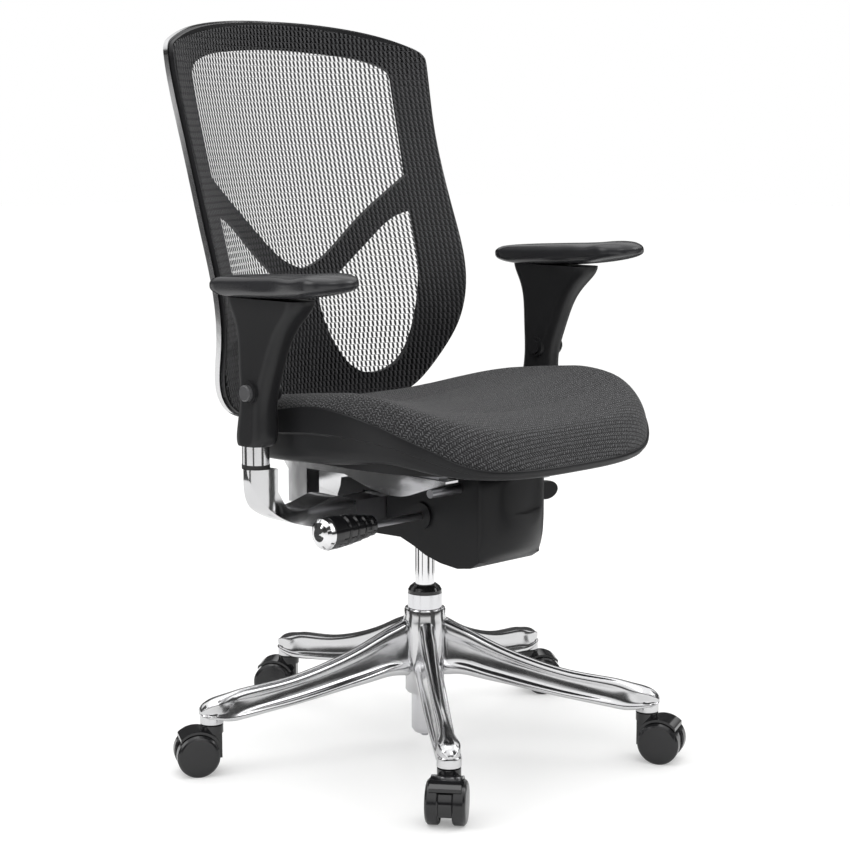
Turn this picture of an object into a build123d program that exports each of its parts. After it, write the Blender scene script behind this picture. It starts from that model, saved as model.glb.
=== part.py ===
"""Swivel office chair with a mesh back, synchro tilt, gas lift and adjustable arms.

Millimetres. The origin is on the column's axis at floor level, +Z is up and the seat
faces -Y, so the sitter's right is -X. Every separate piece is one STEP in parts/.
"""
from build123d import *
import os
from math import cos, radians, sin

os.makedirs("parts", exist_ok=True)

# ---- fits and gaps ---------------------------------------------------------------------
RUN = 0.05          # radial running clearance of a shaft in its hole
SEAT = 0.1          # gap between pieces that are fixed together
FREE = 0.4          # gap between pieces that move past each other

# ---- base and casters ------------------------------------------------------------------
LEGS = 5
FIRST_LEG = -129.3
BOSS_CIRCLE_R = 326.0
BOSS_R = 17.0
BOSS_BOTTOM = 70.0
BOSS_TOP = 104.0
HUB_R = 30.0
HUB_BOTTOM = 81.0
HUB_TOP = 206.0
WHEEL_R = 30.0
WHEEL_WIDTH = 19.0
WHEEL_GAP = 18.0
CASTER_TRAIL = 22.0
CASTER_HEADINGS = (217.5, -65.3, -38.0, 128.0, 149.7)
STEM_R = 5.5
AXLE_R = 4.0
NECK_R = 16.0
HOOD_R = 34.5

# ---- gas lift --------------------------------------------------------------------------
TUBE_R = 25.0
TUBE_FOOT_R = 19.5
TUBE_BOTTOM = 20.0
TUBE_TOP = 228.0
DOME_TOP = 241.0
CYLINDER_R = 14.0
CYLINDER_BORE_R = 12.5
CYLINDER_BOTTOM = 110.0
TAPER_BOTTOM = 326.0
CYLINDER_TOP = 384.0
TAPER_TOP_R = 13.2
ROD_R = 5.0
VALVE_PIN_R = 3.5

# ---- tilt mechanism --------------------------------------------------------------------
COVER_HALF = 63.0
COVER_WALL = 3.0
CHASSIS_HALF = 40.0
CHASSIS_BOTTOM = 335.0
CHASSIS_TOP = 383.0
CHASSIS_FRONT = -150.0
CHASSIS_REAR = 100.0
BACK_PIVOT = (82.0, 350.0)      # y, z
SEAT_PIVOT = (-130.0, 405.0)
BACK_SHAFT_R = 7.0
SEAT_SHAFT_R = 6.0
KNOB_Y = -58.0
KNOB_Z = 358.0
LEVER_Z = 362.0
LEVER_PIVOT_X = 48.0
YOKE_HALF = 30.0                # the back carrier's half width inside the tray

# ---- arms ------------------------------------------------------------------------------
ARM_X = 285.0
POST_Y = 38.0
ARM_NOTCH = 20.0                # the sitter's left arm rests one notch higher
GASKET_BOTTOM = 440.0
GASKET_HEIGHT = 6.0
POST_TOP = 622.0
POST_FOOT = (18.0, 19.5)        # half axes of the post's oval foot
POST_FOOT_TOP = 480.0
STEM_TUBE_R = 15.5              # the post's round stem inside the sleeve
ARM_DROP = 20.0                 # how far the sleeve goes down from the lower notch
SLEEVE_BOTTOM = 472.0
SLEEVE_TOP = 672.0
BUTTON_Y = 25.0
BUTTON_Z = 546.0
PAD_REAR = 115.0
PAD_FRONT = -154.0
PAD_REAR_R = 33.0
PAD_FRONT_R = 42.0
PAD_PITCH = 2.8
PAD_TOE_IN = 1.8

# ---- seat ------------------------------------------------------------------------------
SEAT_HALF = 257.0
SEAT_REAR = 160.0
SEAT_FRONT = -293.0
SEAT_BEND_Y = -118.0            # the plan outline starts to round off to the front here
PAN_BOTTOM = 430.0
CARRIER_TOP = 424.0
RAIL_X = 104.0
RAIL_WIDTH = 24.0

# ---- back ------------------------------------------------------------------------------
# height z, centre line y, wrap k in y = centre - k * x * x
BACK_STATIONS = (
    (430.0, 256.0, 0.00125),
    (500.0, 254.0, 0.00135),
    (560.0, 250.0, 0.00150),
    (620.0, 246.5, 0.00165),
    (690.0, 259.0, 0.00172),
    (760.0, 273.5, 0.00158),
    (820.0, 286.0, 0.00145),
    (900.0, 303.0, 0.00130),
    (977.0, 316.0, 0.00117),
    (1053.0, 321.0, 0.00110),
    (1110.0, 321.0, 0.00108),
)
BACK_SPAN = 285.0
MESH_THICK = 1.4
FRAME_FRONT = 1.7
FRAME_REAR = 9.0
RIM_FRONT = 9.5
RIM_REAR = 18.0


def place(shape, x=0.0, y=0.0, z=0.0):
    """Return the shape moved to a point."""
    return Pos(x, y, z) * shape


def rod_x(radius, x0, x1, y, z):
    """A round bar along X from x0 to x1."""
    return Pos((x0 + x1) / 2, y, z) * Rot(0, 90, 0) * Cylinder(radius, abs(x1 - x0))


def rod_z(radius, z0, z1, x=0.0, y=0.0):
    """A round bar along Z from z0 to z1."""
    return Pos(x, y, (z0 + z1) / 2) * Cylinder(radius, z1 - z0)


def block(x0, x1, y0, y1, z0, z1):
    """A box between two corners."""
    centre = Pos((x0 + x1) / 2, (y0 + y1) / 2, (z0 + z1) / 2)
    return centre * Box(x1 - x0, y1 - y0, z1 - z0)


def turned(points, arc=360.0):
    """Revolve an (r, z) outline about the Z axis."""
    outline = make_face(Polyline(*[(r, 0, z) for r, z in points], close=True))
    return revolve(outline, Axis.Z, arc)


def across_x(outline, half):
    """Extrude a (y, z) outline evenly to both sides of x = 0."""
    face = make_face(outline)
    return extrude(face, amount=half, both=True, dir=(1, 0, 0))


def yz(points):
    """Points given as (y, z) pairs on the plane x = 0."""
    return [(0, y, z) for y, z in points]


def mirrored(shape):
    """The same piece on the other side of the chair."""
    return mirror(shape, about=Plane.YZ)


def save(name, *solids):
    """Write one node, made of one solid or of a group of them."""
    group = solids[0] if len(solids) == 1 else Compound(children=list(solids))
    group.label = name
    export_step(group, f"parts/{name}.step")


# ---- base star -------------------------------------------------------------------------
# distance from the column, leg top, leg bottom, half-width at the foot, at the ridge
LEG_SECTIONS = (
    (18.0, 198.0, 110.0, 22.0, 13.0),
    (64.0, 178.0, 112.0, 21.0, 11.0),
    (110.0, 155.5, 104.0, 20.0, 10.0),
    (153.0, 140.0, 95.5, 19.0, 9.0),
    (205.0, 125.0, 86.0, 18.0, 8.5),
    (262.0, 118.5, 77.5, 16.5, 8.5),
    (300.0, 112.5, 71.0, 15.5, 9.0),
    (326.0, 104.0, 70.0, 15.0, 9.5),
)


def leg_section(distance, top, bottom, foot, ridge):
    """A leg's outline across its length: broad foot, waist and rounded ridge."""
    height = top - bottom
    shoulder = bottom + 0.30 * height
    neck = bottom + 0.52 * height
    waist = 0.55 * foot + 0.45 * ridge
    right = [(foot, bottom), (foot, shoulder), (waist, neck), (ridge, top - 0.45 * ridge)]
    left = [(-x, z) for x, z in reversed(right)]
    path = [(distance, x, z) for x, z in right]
    back = [(distance, x, z) for x, z in left]
    cap = ThreePointArc(path[-1], (distance, 0, top), back[0])
    return make_face([Polyline(*path), cap, Polyline(*back), Line(back[-1], path[0])])


def tube_profile(grow=0.0):
    """The gas lift's outer tube, grown by the seat gap to cut the hub."""
    return (
        (0, TUBE_BOTTOM - grow),
        (TUBE_FOOT_R - 4 + grow, TUBE_BOTTOM - grow),
        (TUBE_FOOT_R + grow, TUBE_BOTTOM + 6),
        (TUBE_FOOT_R + grow, 92),
        (TUBE_R + grow, 172),
        (TUBE_R + grow, TUBE_TOP),
        (0, TUBE_TOP),
    )


def base_star():
    leg = loft([leg_section(*row) for row in LEG_SECTIONS], ruled=True)
    boss = rod_z(BOSS_R, BOSS_BOTTOM, BOSS_TOP - 2, BOSS_CIRCLE_R)
    boss = fillet(boss.edges().group_by(Axis.Z)[-1], 8)
    leg += boss
    hub = turned((
        (0, HUB_BOTTOM),
        (26, HUB_BOTTOM),
        (28.5, HUB_BOTTOM + 4),
        (28.5, 108),
        (33, 116),
        (33, 186),
        (HUB_R, 198),
        (HUB_R, HUB_TOP - 1.5),
        (HUB_R - 1.5, HUB_TOP),
        (0, HUB_TOP),
    ))
    star = hub
    for index in range(LEGS):
        star += Rot(0, 0, FIRST_LEG + 72 * index) * leg
    star -= turned(tube_profile(SEAT))
    for index in range(LEGS):
        spin = Rot(0, 0, FIRST_LEG + 72 * index)
        star -= spin * rod_z(STEM_R + RUN, BOSS_BOTTOM - 1, 95, BOSS_CIRCLE_R)
    return star


# ---- casters ---------------------------------------------------------------------------
def caster_place(index):
    """From the caster's own frame, stem on Z and trail along +X, to its boss."""
    angle = radians(FIRST_LEG + 72 * index)
    x = BOSS_CIRCLE_R * cos(angle)
    y = BOSS_CIRCLE_R * sin(angle)
    return Pos(x, y, 0) * Rot(0, 0, CASTER_HEADINGS[index])


def caster_housing():
    """Central web, mudguard over both wheels and the neck under the boss."""
    axle = (CASTER_TRAIL, 0, WHEEL_R)
    web_half = WHEEL_GAP / 2 - FREE
    disc = Pos(*axle) * Rot(90, 0, 0) * Cylinder(27, 2 * web_half)
    front = block(-13, CASTER_TRAIL, -web_half, web_half, 22, 62)
    web = disc + front - block(-40, 80, -30, 30, -5, 16)
    guard = Pos(*axle) * Rot(90, 0, 0) * Cylinder(HOOD_R, WHEEL_GAP + 2 * WHEEL_WIDTH - 14)
    guard -= Pos(*axle) * Rot(90, 0, 0) * Cylinder(WHEEL_R + 1.2, 80)
    guard &= block(-20, CASTER_TRAIL + 24, -30, 30, 47, 80)
    neck = rod_z(NECK_R, 58, BOSS_BOTTOM - 0.6)
    neck -= Pos(*axle) * Rot(90, 0, 0) * Cylinder(WHEEL_R + 1.2, 80)
    housing = web + guard + neck
    housing -= rod_z(STEM_R + SEAT, 44, 80)
    housing -= Pos(*axle) * Rot(90, 0, 0) * Cylinder(AXLE_R + 0.02, 80)
    return housing


def caster_pins():
    """Swivel stem with its collar, and the wheel axle."""
    stem = rod_z(STEM_R, 44.2, 94) - rod_z(STEM_R + 1, 84, 86.5)
    stem += rod_z(STEM_R - 1, 84, 86.5)
    half = WHEEL_GAP / 2 + WHEEL_WIDTH - 3
    axle = Pos(CASTER_TRAIL, 0, WHEEL_R) * Rot(90, 0, 0) * Cylinder(AXLE_R, 2 * half)
    return stem, axle


def caster_wheel(side):
    """One domed wheel; side is +1 or -1 across the caster."""
    inner = WHEEL_GAP / 2
    outer = inner + WHEEL_WIDTH
    profile = (
        (AXLE_R + RUN, inner + 0.2),
        (11, inner),
        (11, inner + 4),
        (WHEEL_R - 6, inner + 4),
        (WHEEL_R - 6, inner),
        (WHEEL_R - 2, inner),
        (WHEEL_R, inner + 2),
        (WHEEL_R, outer - 4.5),
        (WHEEL_R - 2.5, outer - 2),
        (WHEEL_R - 5, outer - 1),
        (10, outer),
        (0, outer),
        (0, outer - 2.6),
        (AXLE_R + RUN, outer - 2.6),
    )
    wheel = Rot(-90 * side, 0, 0) * turned(profile)
    return place(wheel, CASTER_TRAIL, 0, WHEEL_R)


# ---- gas lift --------------------------------------------------------------------------
def lift_outer_tube():
    bore = turned((
        (0, TUBE_BOTTOM + 3),
        (TUBE_FOOT_R - 4, TUBE_BOTTOM + 3),
        (TUBE_FOOT_R - 2, TUBE_BOTTOM + 7),
        (TUBE_FOOT_R - 2, 92),
        (TUBE_R - 2, 172),
        (TUBE_R - 2, TUBE_TOP + 1),
        (0, TUBE_TOP + 1),
    ))
    return turned(tube_profile()) - bore - rod_z(ROD_R + 1, TUBE_BOTTOM - 2, TUBE_BOTTOM + 6)


def lift_guide_bush():
    bore = CYLINDER_R + RUN
    return turned((
        (bore, 176),
        (TUBE_R - 2 - SEAT, 176),
        (TUBE_R - 2 - SEAT, TUBE_TOP + 0.2),
        (TUBE_R - 0.5, TUBE_TOP + 0.2),
        (TUBE_R - 0.5, TUBE_TOP + 5),
        (TUBE_R - 3, TUBE_TOP + 9.5),
        (TUBE_R - 7.5, DOME_TOP),
        (bore, DOME_TOP),
    ))


def lift_thrust_bearing():
    race = turned(((ROD_R + RUN, 23.1), (15, 23.1), (15, 26), (ROD_R + RUN, 26)))
    return race + turned(((7, 25.5), (13, 25.5), (13, 30), (7, 30)))


def lift_retaining_clip():
    ring = turned(((ROD_R - 1, 17), (9, 17), (9, 18.6), (ROD_R - 1, 18.6)))
    return ring - block(-2, 2, -12, 0, 10, 22)


def lift_piston_rod():
    rod = rod_z(ROD_R, 14, 190)
    rod -= turned(((ROD_R - 1 - SEAT, 16.7), (ROD_R + 1, 16.7), (ROD_R + 1, 18.9),
                   (ROD_R - 1 - SEAT, 18.9)))
    rod += rod_z(11, 30.3, 34)
    rod += rod_z(CYLINDER_BORE_R - RUN, 174, 190)
    return rod


def lift_cylinder():
    body = turned((
        (ROD_R + RUN, CYLINDER_BOTTOM),
        (CYLINDER_R, CYLINDER_BOTTOM),
        (CYLINDER_R, TAPER_BOTTOM),
        (TAPER_TOP_R, CYLINDER_TOP),
        (VALVE_PIN_R + RUN, CYLINDER_TOP),
        (VALVE_PIN_R + RUN, CYLINDER_TOP - 28),
        (CYLINDER_BORE_R - 2, CYLINDER_TOP - 28),
        (CYLINDER_BORE_R, CYLINDER_TOP - 60),
        (CYLINDER_BORE_R, CYLINDER_BOTTOM + 12),
        (ROD_R + RUN, CYLINDER_BOTTOM + 12),
    ))
    return body


# ---- tilt mechanism --------------------------------------------------------------------
COVER_SPLIT_Y = -166.0
COVER_UNDERSIDE = (
    (112.0, 380.0),
    (124.0, 352.0),
    (112.0, 330.0),
    (60.0, 319.0),
    (-14.0, 321.0),
    (-41.0, 312.0),
    (-65.0, 302.0),
    (-94.0, 295.0),
    (-127.0, 292.0),
    (-152.0, 296.0),
    (-174.0, 310.0),
    (-188.0, 332.0),
    (-197.0, 370.0),
)
COVER_NOSE = 27.0               # how far the front cover bulges between its corners
COVER_TOP_FRONT = (-203.0, 425.0)
COVER_TOP_REAR = (110.0, 392.0)


def cover_solid(inset):
    """The cover's outer form, or its hollow when inset is the wall."""
    front_y, front_z = COVER_TOP_FRONT
    rear_y, rear_z = COVER_TOP_REAR
    under = [(y - (inset * 1.5 if y > 100 else 0), z + inset * 1.25) for y, z in COVER_UNDERSIDE]
    under[-1] = (under[-1][0] + inset * 1.3, under[-1][1])
    lift = 40.0 if inset else 0.0
    top = [
        (front_y + inset * 1.3 - lift * 0.33, front_z + lift),
        (rear_y - inset * 1.5, rear_z + lift),
    ]
    body = across_x(Polyline(*yz(under + top), close=True), COVER_HALF - inset)
    half = COVER_HALF - inset
    nose = COVER_SPLIT_Y - 8
    plan = make_face([
        Polyline((half, nose), (half, 140), (-half, 140), (-half, nose)),
        ThreePointArc((-half, nose), (0, nose - COVER_NOSE + inset), (half, nose)),
    ])
    return body & Pos(0, 0, 270) * extrude(plan, amount=220)


def mechanism_covers():
    """The side-and-rear cover and the front cover."""
    shell = cover_solid(0) - cover_solid(COVER_WALL)
    shell -= rod_z(CYLINDER_R + 3, 270, 360)
    shell -= block(-CARRIER_HALF - 3, CARRIER_HALF + 3, 66, 140, 300, 376)
    for side in (-1, 1):
        x = side * COVER_HALF
        shell -= block(x - 6, x + 6, 13, 63, 333, 380)
        shell -= rod_x(SEAT_SHAFT_R + 0.5, x - 6, x + 6, *SEAT_PIVOT)
    shell -= rod_x(5 + 0.6, -COVER_HALF - 6, -COVER_HALF + 6, KNOB_Y, KNOB_Z)
    shell -= rod_x(8, COVER_HALF - 6, COVER_HALF + 6, KNOB_Y, LEVER_Z)
    rear = shell & block(-80, 80, COVER_SPLIT_Y + 0.15, 120, 250, 460)
    front = shell & block(-80, 80, -300, COVER_SPLIT_Y - 0.15, 250, 460)
    boss = rod_x(19, -COVER_HALF - 4, -COVER_HALF + 0.5, KNOB_Y, KNOB_Z)
    boss -= rod_x(5.6, -COVER_HALF - 6, -COVER_HALF + 6, KNOB_Y, KNOB_Z)
    return rear + boss, front


def tilt_chassis():
    """Steel tray with the taper socket, shaft ears and an outrigger for each arm."""
    tray = block(-CHASSIS_HALF, CHASSIS_HALF, CHASSIS_FRONT, CHASSIS_REAR,
                 CHASSIS_BOTTOM, CHASSIS_TOP)
    tray -= block(-CHASSIS_HALF + 4, CHASSIS_HALF - 4, CHASSIS_FRONT + 4, CHASSIS_REAR + 1,
                  CHASSIS_BOTTOM + 4, CHASSIS_TOP + 1)
    tray += rod_z(22, CHASSIS_BOTTOM + 1, CYLINDER_TOP - 6)
    for side in (-1, 1):
        x = side * (CHASSIS_HALF - 2)
        tray += block(x - 2, x + 2, SEAT_PIVOT[0] - 13, SEAT_PIVOT[0] + 13, CHASSIS_TOP - 1, 417)
        near = side * (CHASSIS_HALF - 1)
        far = side * 122
        tray += block(min(near, far), max(near, far), 15, 61, 338, 377)
    tray -= block(-YOKE_HALF - 2, YOKE_HALF + 2, 64, 130, 320, CHASSIS_BOTTOM + 5)
    socket = (
        (0, TAPER_BOTTOM),
        (CYLINDER_R + SEAT, TAPER_BOTTOM),
        (TAPER_TOP_R + SEAT, CYLINDER_TOP),
        (0, CYLINDER_TOP),
    )
    tray -= turned(socket)
    tray -= rod_x(SEAT_SHAFT_R + 0.02, -60, 60, *SEAT_PIVOT)
    tray -= rod_x(BACK_SHAFT_R + 0.02, -60, 60, *BACK_PIVOT)
    tray -= rod_x(5 + RUN, -60, 0, KNOB_Y, KNOB_Z)
    return tray


def pivot_shafts():
    seat = rod_x(SEAT_SHAFT_R, -RAIL_X - 16, RAIL_X + 16, *SEAT_PIVOT)
    back = rod_x(BACK_SHAFT_R, -58, 58, *BACK_PIVOT)
    return seat, back


def tilt_springs():
    """A torsion coil at each end of the back's tilt shaft."""
    coil_r = 12.5
    wire_r = 2.0
    y, z = BACK_PIVOT
    helix = Helix(pitch=4.6, height=12.0, radius=coil_r)
    section = Plane(origin=helix @ 0, z_dir=helix % 0) * Circle(wire_r)
    coil = sweep(section, path=helix)
    right = Pos(44.5, y, z) * Rot(0, 90, 0) * coil
    return right, mirrored(right)


def tension_knob():
    """Shaft, ribbed grip and domed cap, all on one axis along X."""
    shaft = rod_x(5, -236, -14, KNOB_Y, KNOB_Z)
    grip = turned((
        (5 + SEAT, 0), (13, 0), (14.5, 2), (14.5, 8), (12.5, 10), (12.5, 12), (16.5, 14),
        (17, 22), (14.5, 24), (14.5, 27), (19, 29), (19.5, 38), (17, 40), (17, 43), (21, 45),
        (21.5, 55), (19, 57), (19, 60), (22.5, 62), (23, 70), (23, 84), (19, 84), (19, 74.5),
        (5 + SEAT, 74.5),
    ))
    cap = turned((
        (0, 75), (18.8, 75), (18.8, 84.2), (22.5, 84.2), (22.5, 86.5), (20.5, 91), (16, 94.5),
        (10, 96.6), (0, 97.5),
    ))
    along = Pos(-161, KNOB_Y, KNOB_Z) * Rot(0, -90, 0)
    return shaft, along * grip, along * cap


def height_lever():
    """Bent lever: paddle rod outside, crank over the valve pin inside."""
    crank_low = CYLINDER_TOP + 7
    crank_high = crank_low + 5
    front = KNOB_Y - 6
    rod = rod_x(4.5, LEVER_PIVOT_X - 4, 182, KNOB_Y, LEVER_Z)
    riser = block(LEVER_PIVOT_X - 4, LEVER_PIVOT_X + 6, front, front + 12, LEVER_Z - 4, crank_high)
    bar = block(-6, LEVER_PIVOT_X + 6, front, front + 12, crank_low, crank_high)
    foot = block(-6, 6, front, 6, crank_low, crank_high)
    return rod + riser + bar + foot


def height_lever_paddle():
    plate = fillet(extrude(Ellipse(24, 14), amount=5.5, both=True).edges(), 2.5)
    paddle = Pos(196, KNOB_Y, LEVER_Z) * Rot(90, 0, 0) * plate
    return paddle - rod_x(4.5 + SEAT, 150, 182.5, KNOB_Y, LEVER_Z)


def lift_valve_pin():
    return rod_z(VALVE_PIN_R, CYLINDER_TOP - 26, 390.6)


# ---- arms (the sitter's right one; the left is its mirror image) -------------------------
BRACKET_OUTER = (
    (-304.0, 440.0),
    (-299.0, 414.0),
    (-281.0, 386.0),
    (-246.0, 364.0),
    (-198.0, 350.0),
    (-150.0, 338.0),
    (-123.0, 336.0),
)
BRACKET_INNER = (
    (-123.0, 378.0),
    (-160.0, 389.0),
    (-190.0, 383.0),
    (-222.0, 377.0),
    (-250.0, 384.0),
    (-264.0, 404.0),
    (-266.5, 440.0),
)
BRACKET_HALF = 25.0


def arm_bracket():
    """Broad J casting from the post down and in to the outrigger."""
    outer = Spline(*[(x, 0, z) for x, z in BRACKET_OUTER], tangents=((0, 0, -1), (1, 0, 0)))
    inner = Spline(*[(x, 0, z) for x, z in BRACKET_INNER], tangents=((-1, 0, 0.2), (0, 0, 1)))
    end = Line((-123, 0, 336), (-123, 0, 378))
    neck = Line((-266.5, 0, 440), (-304, 0, 440))
    side = make_face([outer, end, inner, neck])
    casting = Pos(0, POST_Y, 0) * extrude(side, amount=BRACKET_HALF, both=True, dir=(0, 1, 0))
    plan = make_face([
        Polyline((-100, 13.5), (-250, 13.5)),
        Spline((-250, 13.5), (-285, 18), (-304.5, POST_Y), (-285, 58), (-250, 62.5),
               tangents=((-1, 0), (1, 0))),
        Polyline((-250, 62.5), (-100, 62.5), (-100, 13.5)),
    ])
    casting &= Pos(0, 0, 300) * extrude(plan, amount=200)
    for centre_x, centre_z, tilt in ((-293, 395, 62), (-262, 372, 35), (-176, 344, 14)):
        casting -= Pos(centre_x - 2, POST_Y - 4, centre_z - 6) * Rot(0, tilt, 0) * Sphere(9)
    for bolt_y in (26, 50):
        casting -= rod_x(4.1, -150, -120, bolt_y, 358)
    return casting


def arm_bracket_bolts():
    """Two socket screws through each bracket's inner end."""
    screws = []
    for bolt_y in (26, 50):
        screws.append(rod_x(4.0, -149, -123.2, bolt_y, 358))
    return screws + [mirrored(screw) for screw in screws]


def arm_post():
    """Oval foot on the gasket and a round stem up into the sleeve."""
    foot_bottom = GASKET_BOTTOM + GASKET_HEIGHT + SEAT
    foot = extrude(Ellipse(*POST_FOOT), amount=POST_FOOT_TOP - foot_bottom)
    stem = rod_z(STEM_TUBE_R, POST_FOOT_TOP - 2, POST_TOP, -ARM_X, POST_Y)
    return place(foot, -ARM_X, POST_Y, foot_bottom) + stem


def arm_gasket():
    ring = extrude(Ellipse(POST_FOOT[0] + 0.6, POST_FOOT[1] + 0.5), amount=GASKET_HEIGHT - SEAT)
    return place(ring, -ARM_X, POST_Y, GASKET_BOTTOM + SEAT)


# height, rear edge y, front edge y, half width across x
SLEEVE_SECTIONS = (
    (472.0, 62.0, 14.0, 20.5),
    (513.0, 60.5, 4.0, 20.0),
    (572.0, 59.5, -9.0, 19.0),
    (612.0, 61.5, -26.0, 19.0),
    (645.0, 69.0, -52.0, 21.0),
    (660.0, 76.0, -67.0, 22.5),
    (672.0, 80.0, -72.0, 23.0),
)


def sleeve_section(z, rear, front, half):
    """An oval with a flattened side at one height of the sleeve."""
    mid = (rear + front) / 2
    reach = (rear - front) / 2
    corner = min(half, reach) * 0.62
    section = Pos(-ARM_X, mid, z) * RectangleRounded(2 * half, 2 * reach, corner * 1.45)
    return section


def arm_sleeve():
    """Flared sleeve, hollow for the post, with its button ring and inner cap."""
    sleeve = loft([sleeve_section(*row) for row in SLEEVE_SECTIONS])
    throat = extrude(Ellipse(POST_FOOT[0] + FREE, POST_FOOT[1] + FREE), amount=ARM_DROP + 18)
    bore = rod_z(STEM_TUBE_R + FREE, SLEEVE_BOTTOM, SLEEVE_TOP - 8, -ARM_X, POST_Y)
    sleeve -= place(throat, -ARM_X, POST_Y, SLEEVE_BOTTOM - 8) + bore
    ring = rod_x(15, -ARM_X - 24, -ARM_X - 8, BUTTON_Y, BUTTON_Z)
    cap = rod_x(15, -ARM_X + 8, -ARM_X + 24, BUTTON_Y, BUTTON_Z)
    cap += rod_x(10.5, -ARM_X + 20, -ARM_X + 27.5, BUTTON_Y, BUTTON_Z)
    sleeve += ring + cap
    sleeve -= bore
    sleeve -= rod_x(11 + RUN * 2, -ARM_X - 30, -ARM_X - 5, BUTTON_Y, BUTTON_Z)
    return sleeve


def arm_button():
    button = rod_x(11, -ARM_X - 31, -ARM_X - STEM_TUBE_R - 4.7, BUTTON_Y, BUTTON_Z)
    return chamfer(button.edges().group_by(Axis.X)[0], 1.6)


def pad_frame():
    """The pad's own placement: toe-in, then pitch, at the top of the sleeve."""
    return Pos(-ARM_X, 0, SLEEVE_TOP + 1) * Rot(0, 0, -PAD_TOE_IN) * Rot(-PAD_PITCH, 0, 0)


def pad_outline(inset=0.0):
    """Rear and front circles joined by straight sides."""
    rear = Pos(0, PAD_REAR - PAD_REAR_R) * Circle(PAD_REAR_R - inset)
    front = Pos(0, PAD_FRONT + PAD_FRONT_R) * Circle(PAD_FRONT_R - inset)
    return make_hull((rear + front).edges())


def arm_pad_base():
    rim = extrude(pad_outline(), amount=22)
    rim = fillet(rim.edges().group_by(Axis.Z)[0], 9)
    rim = fillet(rim.edges().group_by(Axis.Z)[-1], 3)
    rim -= place(extrude(pad_outline(9), amount=20), 0, 0, 10)
    rim = pad_frame() * Pos(0, 0, 2.5) * rim
    return rim - block(-400, -200, -200, 200, 600, SLEEVE_TOP + SEAT)


def arm_pad():
    pad = extrude(pad_outline(9 + SEAT), amount=24)
    pad = fillet(pad.edges().group_by(Axis.Z)[-1], 8)
    return pad_frame() * Pos(0, 0, 2.5 + 10.2) * pad


# ---- back ------------------------------------------------------------------------------
def back_line(z):
    """Centre line and wrap at a height, straight between the stations."""
    for low, high in zip(BACK_STATIONS, BACK_STATIONS[1:]):
        if z <= high[0]:
            break
    share = (z - low[0]) / (high[0] - low[0])
    return low[1] + share * (high[1] - low[1]), low[2] + share * (high[2] - low[2])


def back_point(x, station, depth):
    """A point at a depth behind the mesh's front face."""
    z, centre, wrap = station
    low_z = max(z - 25, BACK_STATIONS[0][0])
    high_z = min(z + 25, BACK_STATIONS[-1][0])
    low = back_line(low_z)
    high = back_line(high_z)
    rise = ((high[0] - high[1] * x * x) - (low[0] - low[1] * x * x)) / (high_z - low_z)
    slope = -2 * wrap * x
    size = (1 + slope * slope + rise * rise) ** 0.5
    y = centre - wrap * x * x
    return Vector(x - slope * depth / size, y + depth / size, z - rise * depth / size)


def back_slab(front, rear):
    """The whole curved wall between two depths."""
    steps = 12
    rows = []
    for station in BACK_STATIONS:
        xs = [BACK_SPAN * (2 * i / steps - 1) for i in range(steps + 1)]
        rows.append([back_point(x, station, front) for x in xs])
    face = Face.make_surface_from_array_of_points(rows, tol=0.01, min_deg=3, max_deg=3)
    normal = face.normal_at()
    amount = (rear - front) * (1 if normal.Y > 0 else -1)
    return Solid.thicken(face, amount)


# half outline of the back as (x, z), from the top centre clockwise
BACK_SIDE = (
    (251.0, 996.0),
    (246.0, 900.0),
    (245.0, 800.0),
    (246.0, 700.0),
    (240.0, 630.0),
    (222.0, 556.0),
    (186.0, 499.0),
    (130.0, 476.0),
)
BACK_TOP = ((0.0, 1054.0), (130.0, 1047.0), (228.0, 1023.0))
BACK_CORNER = ((228.0, 1023.0), (246.0, 1013.0), (251.0, 996.0))
BACK_FOOT = ((130.0, 476.0), (0.0, 470.0))
BACK_HALF = 251.0
BACK_MIDDLE = 762.0


def back_outline(grow=0.0):
    """The back's full outline on the plane y = 0, grown by an amount at its four sides."""
    wide = 1 + grow / BACK_HALF
    tall = 1 + grow / (BACK_TOP[0][1] - BACK_MIDDLE)

    def grown(points):
        return [(x * wide, 0, BACK_MIDDLE + (z - BACK_MIDDLE) * tall) for x, z in points]

    shoulder = (1, 0, -0.42)
    hip = (-1, 0, -0.2)
    half = [
        Spline(*grown(BACK_TOP), tangents=((1, 0, 0), shoulder)),
        Spline(*grown(BACK_CORNER), tangents=(shoulder, (0, 0, -1))),
        Spline(*grown(BACK_SIDE), tangents=((0, 0, -1), hip)),
        Spline(*grown(BACK_FOOT), tangents=(hip, (-1, 0, 0))),
    ]
    return make_face(half + [mirror(edge, about=Plane.YZ) for edge in half])


def through_y(face):
    """Cut depth through the whole back."""
    return extrude(face, amount=420, dir=(0, 1, 0))


UPPER_WINDOW = (
    (0.0, 1014.0),
    (100.0, 1009.0),
    (176.0, 995.0),
    (199.0, 972.0),
    (198.0, 900.0),
    (195.0, 826.0),
    (165.0, 802.0),
    (129.0, 774.0),
    (89.0, 740.0),
    (44.0, 704.0),
    (0.0, 687.0),
)
LOWER_WINDOW = (
    (193.0, 771.0),
    (162.0, 760.0),
    (124.0, 729.0),
    (76.0, 688.0),
    (22.0, 644.0),
    (28.0, 610.0),
    (49.0, 572.0),
    (76.0, 541.0),
    (112.0, 521.0),
    (156.0, 534.0),
    (176.0, 592.0),
    (189.0, 680.0),
)


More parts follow.
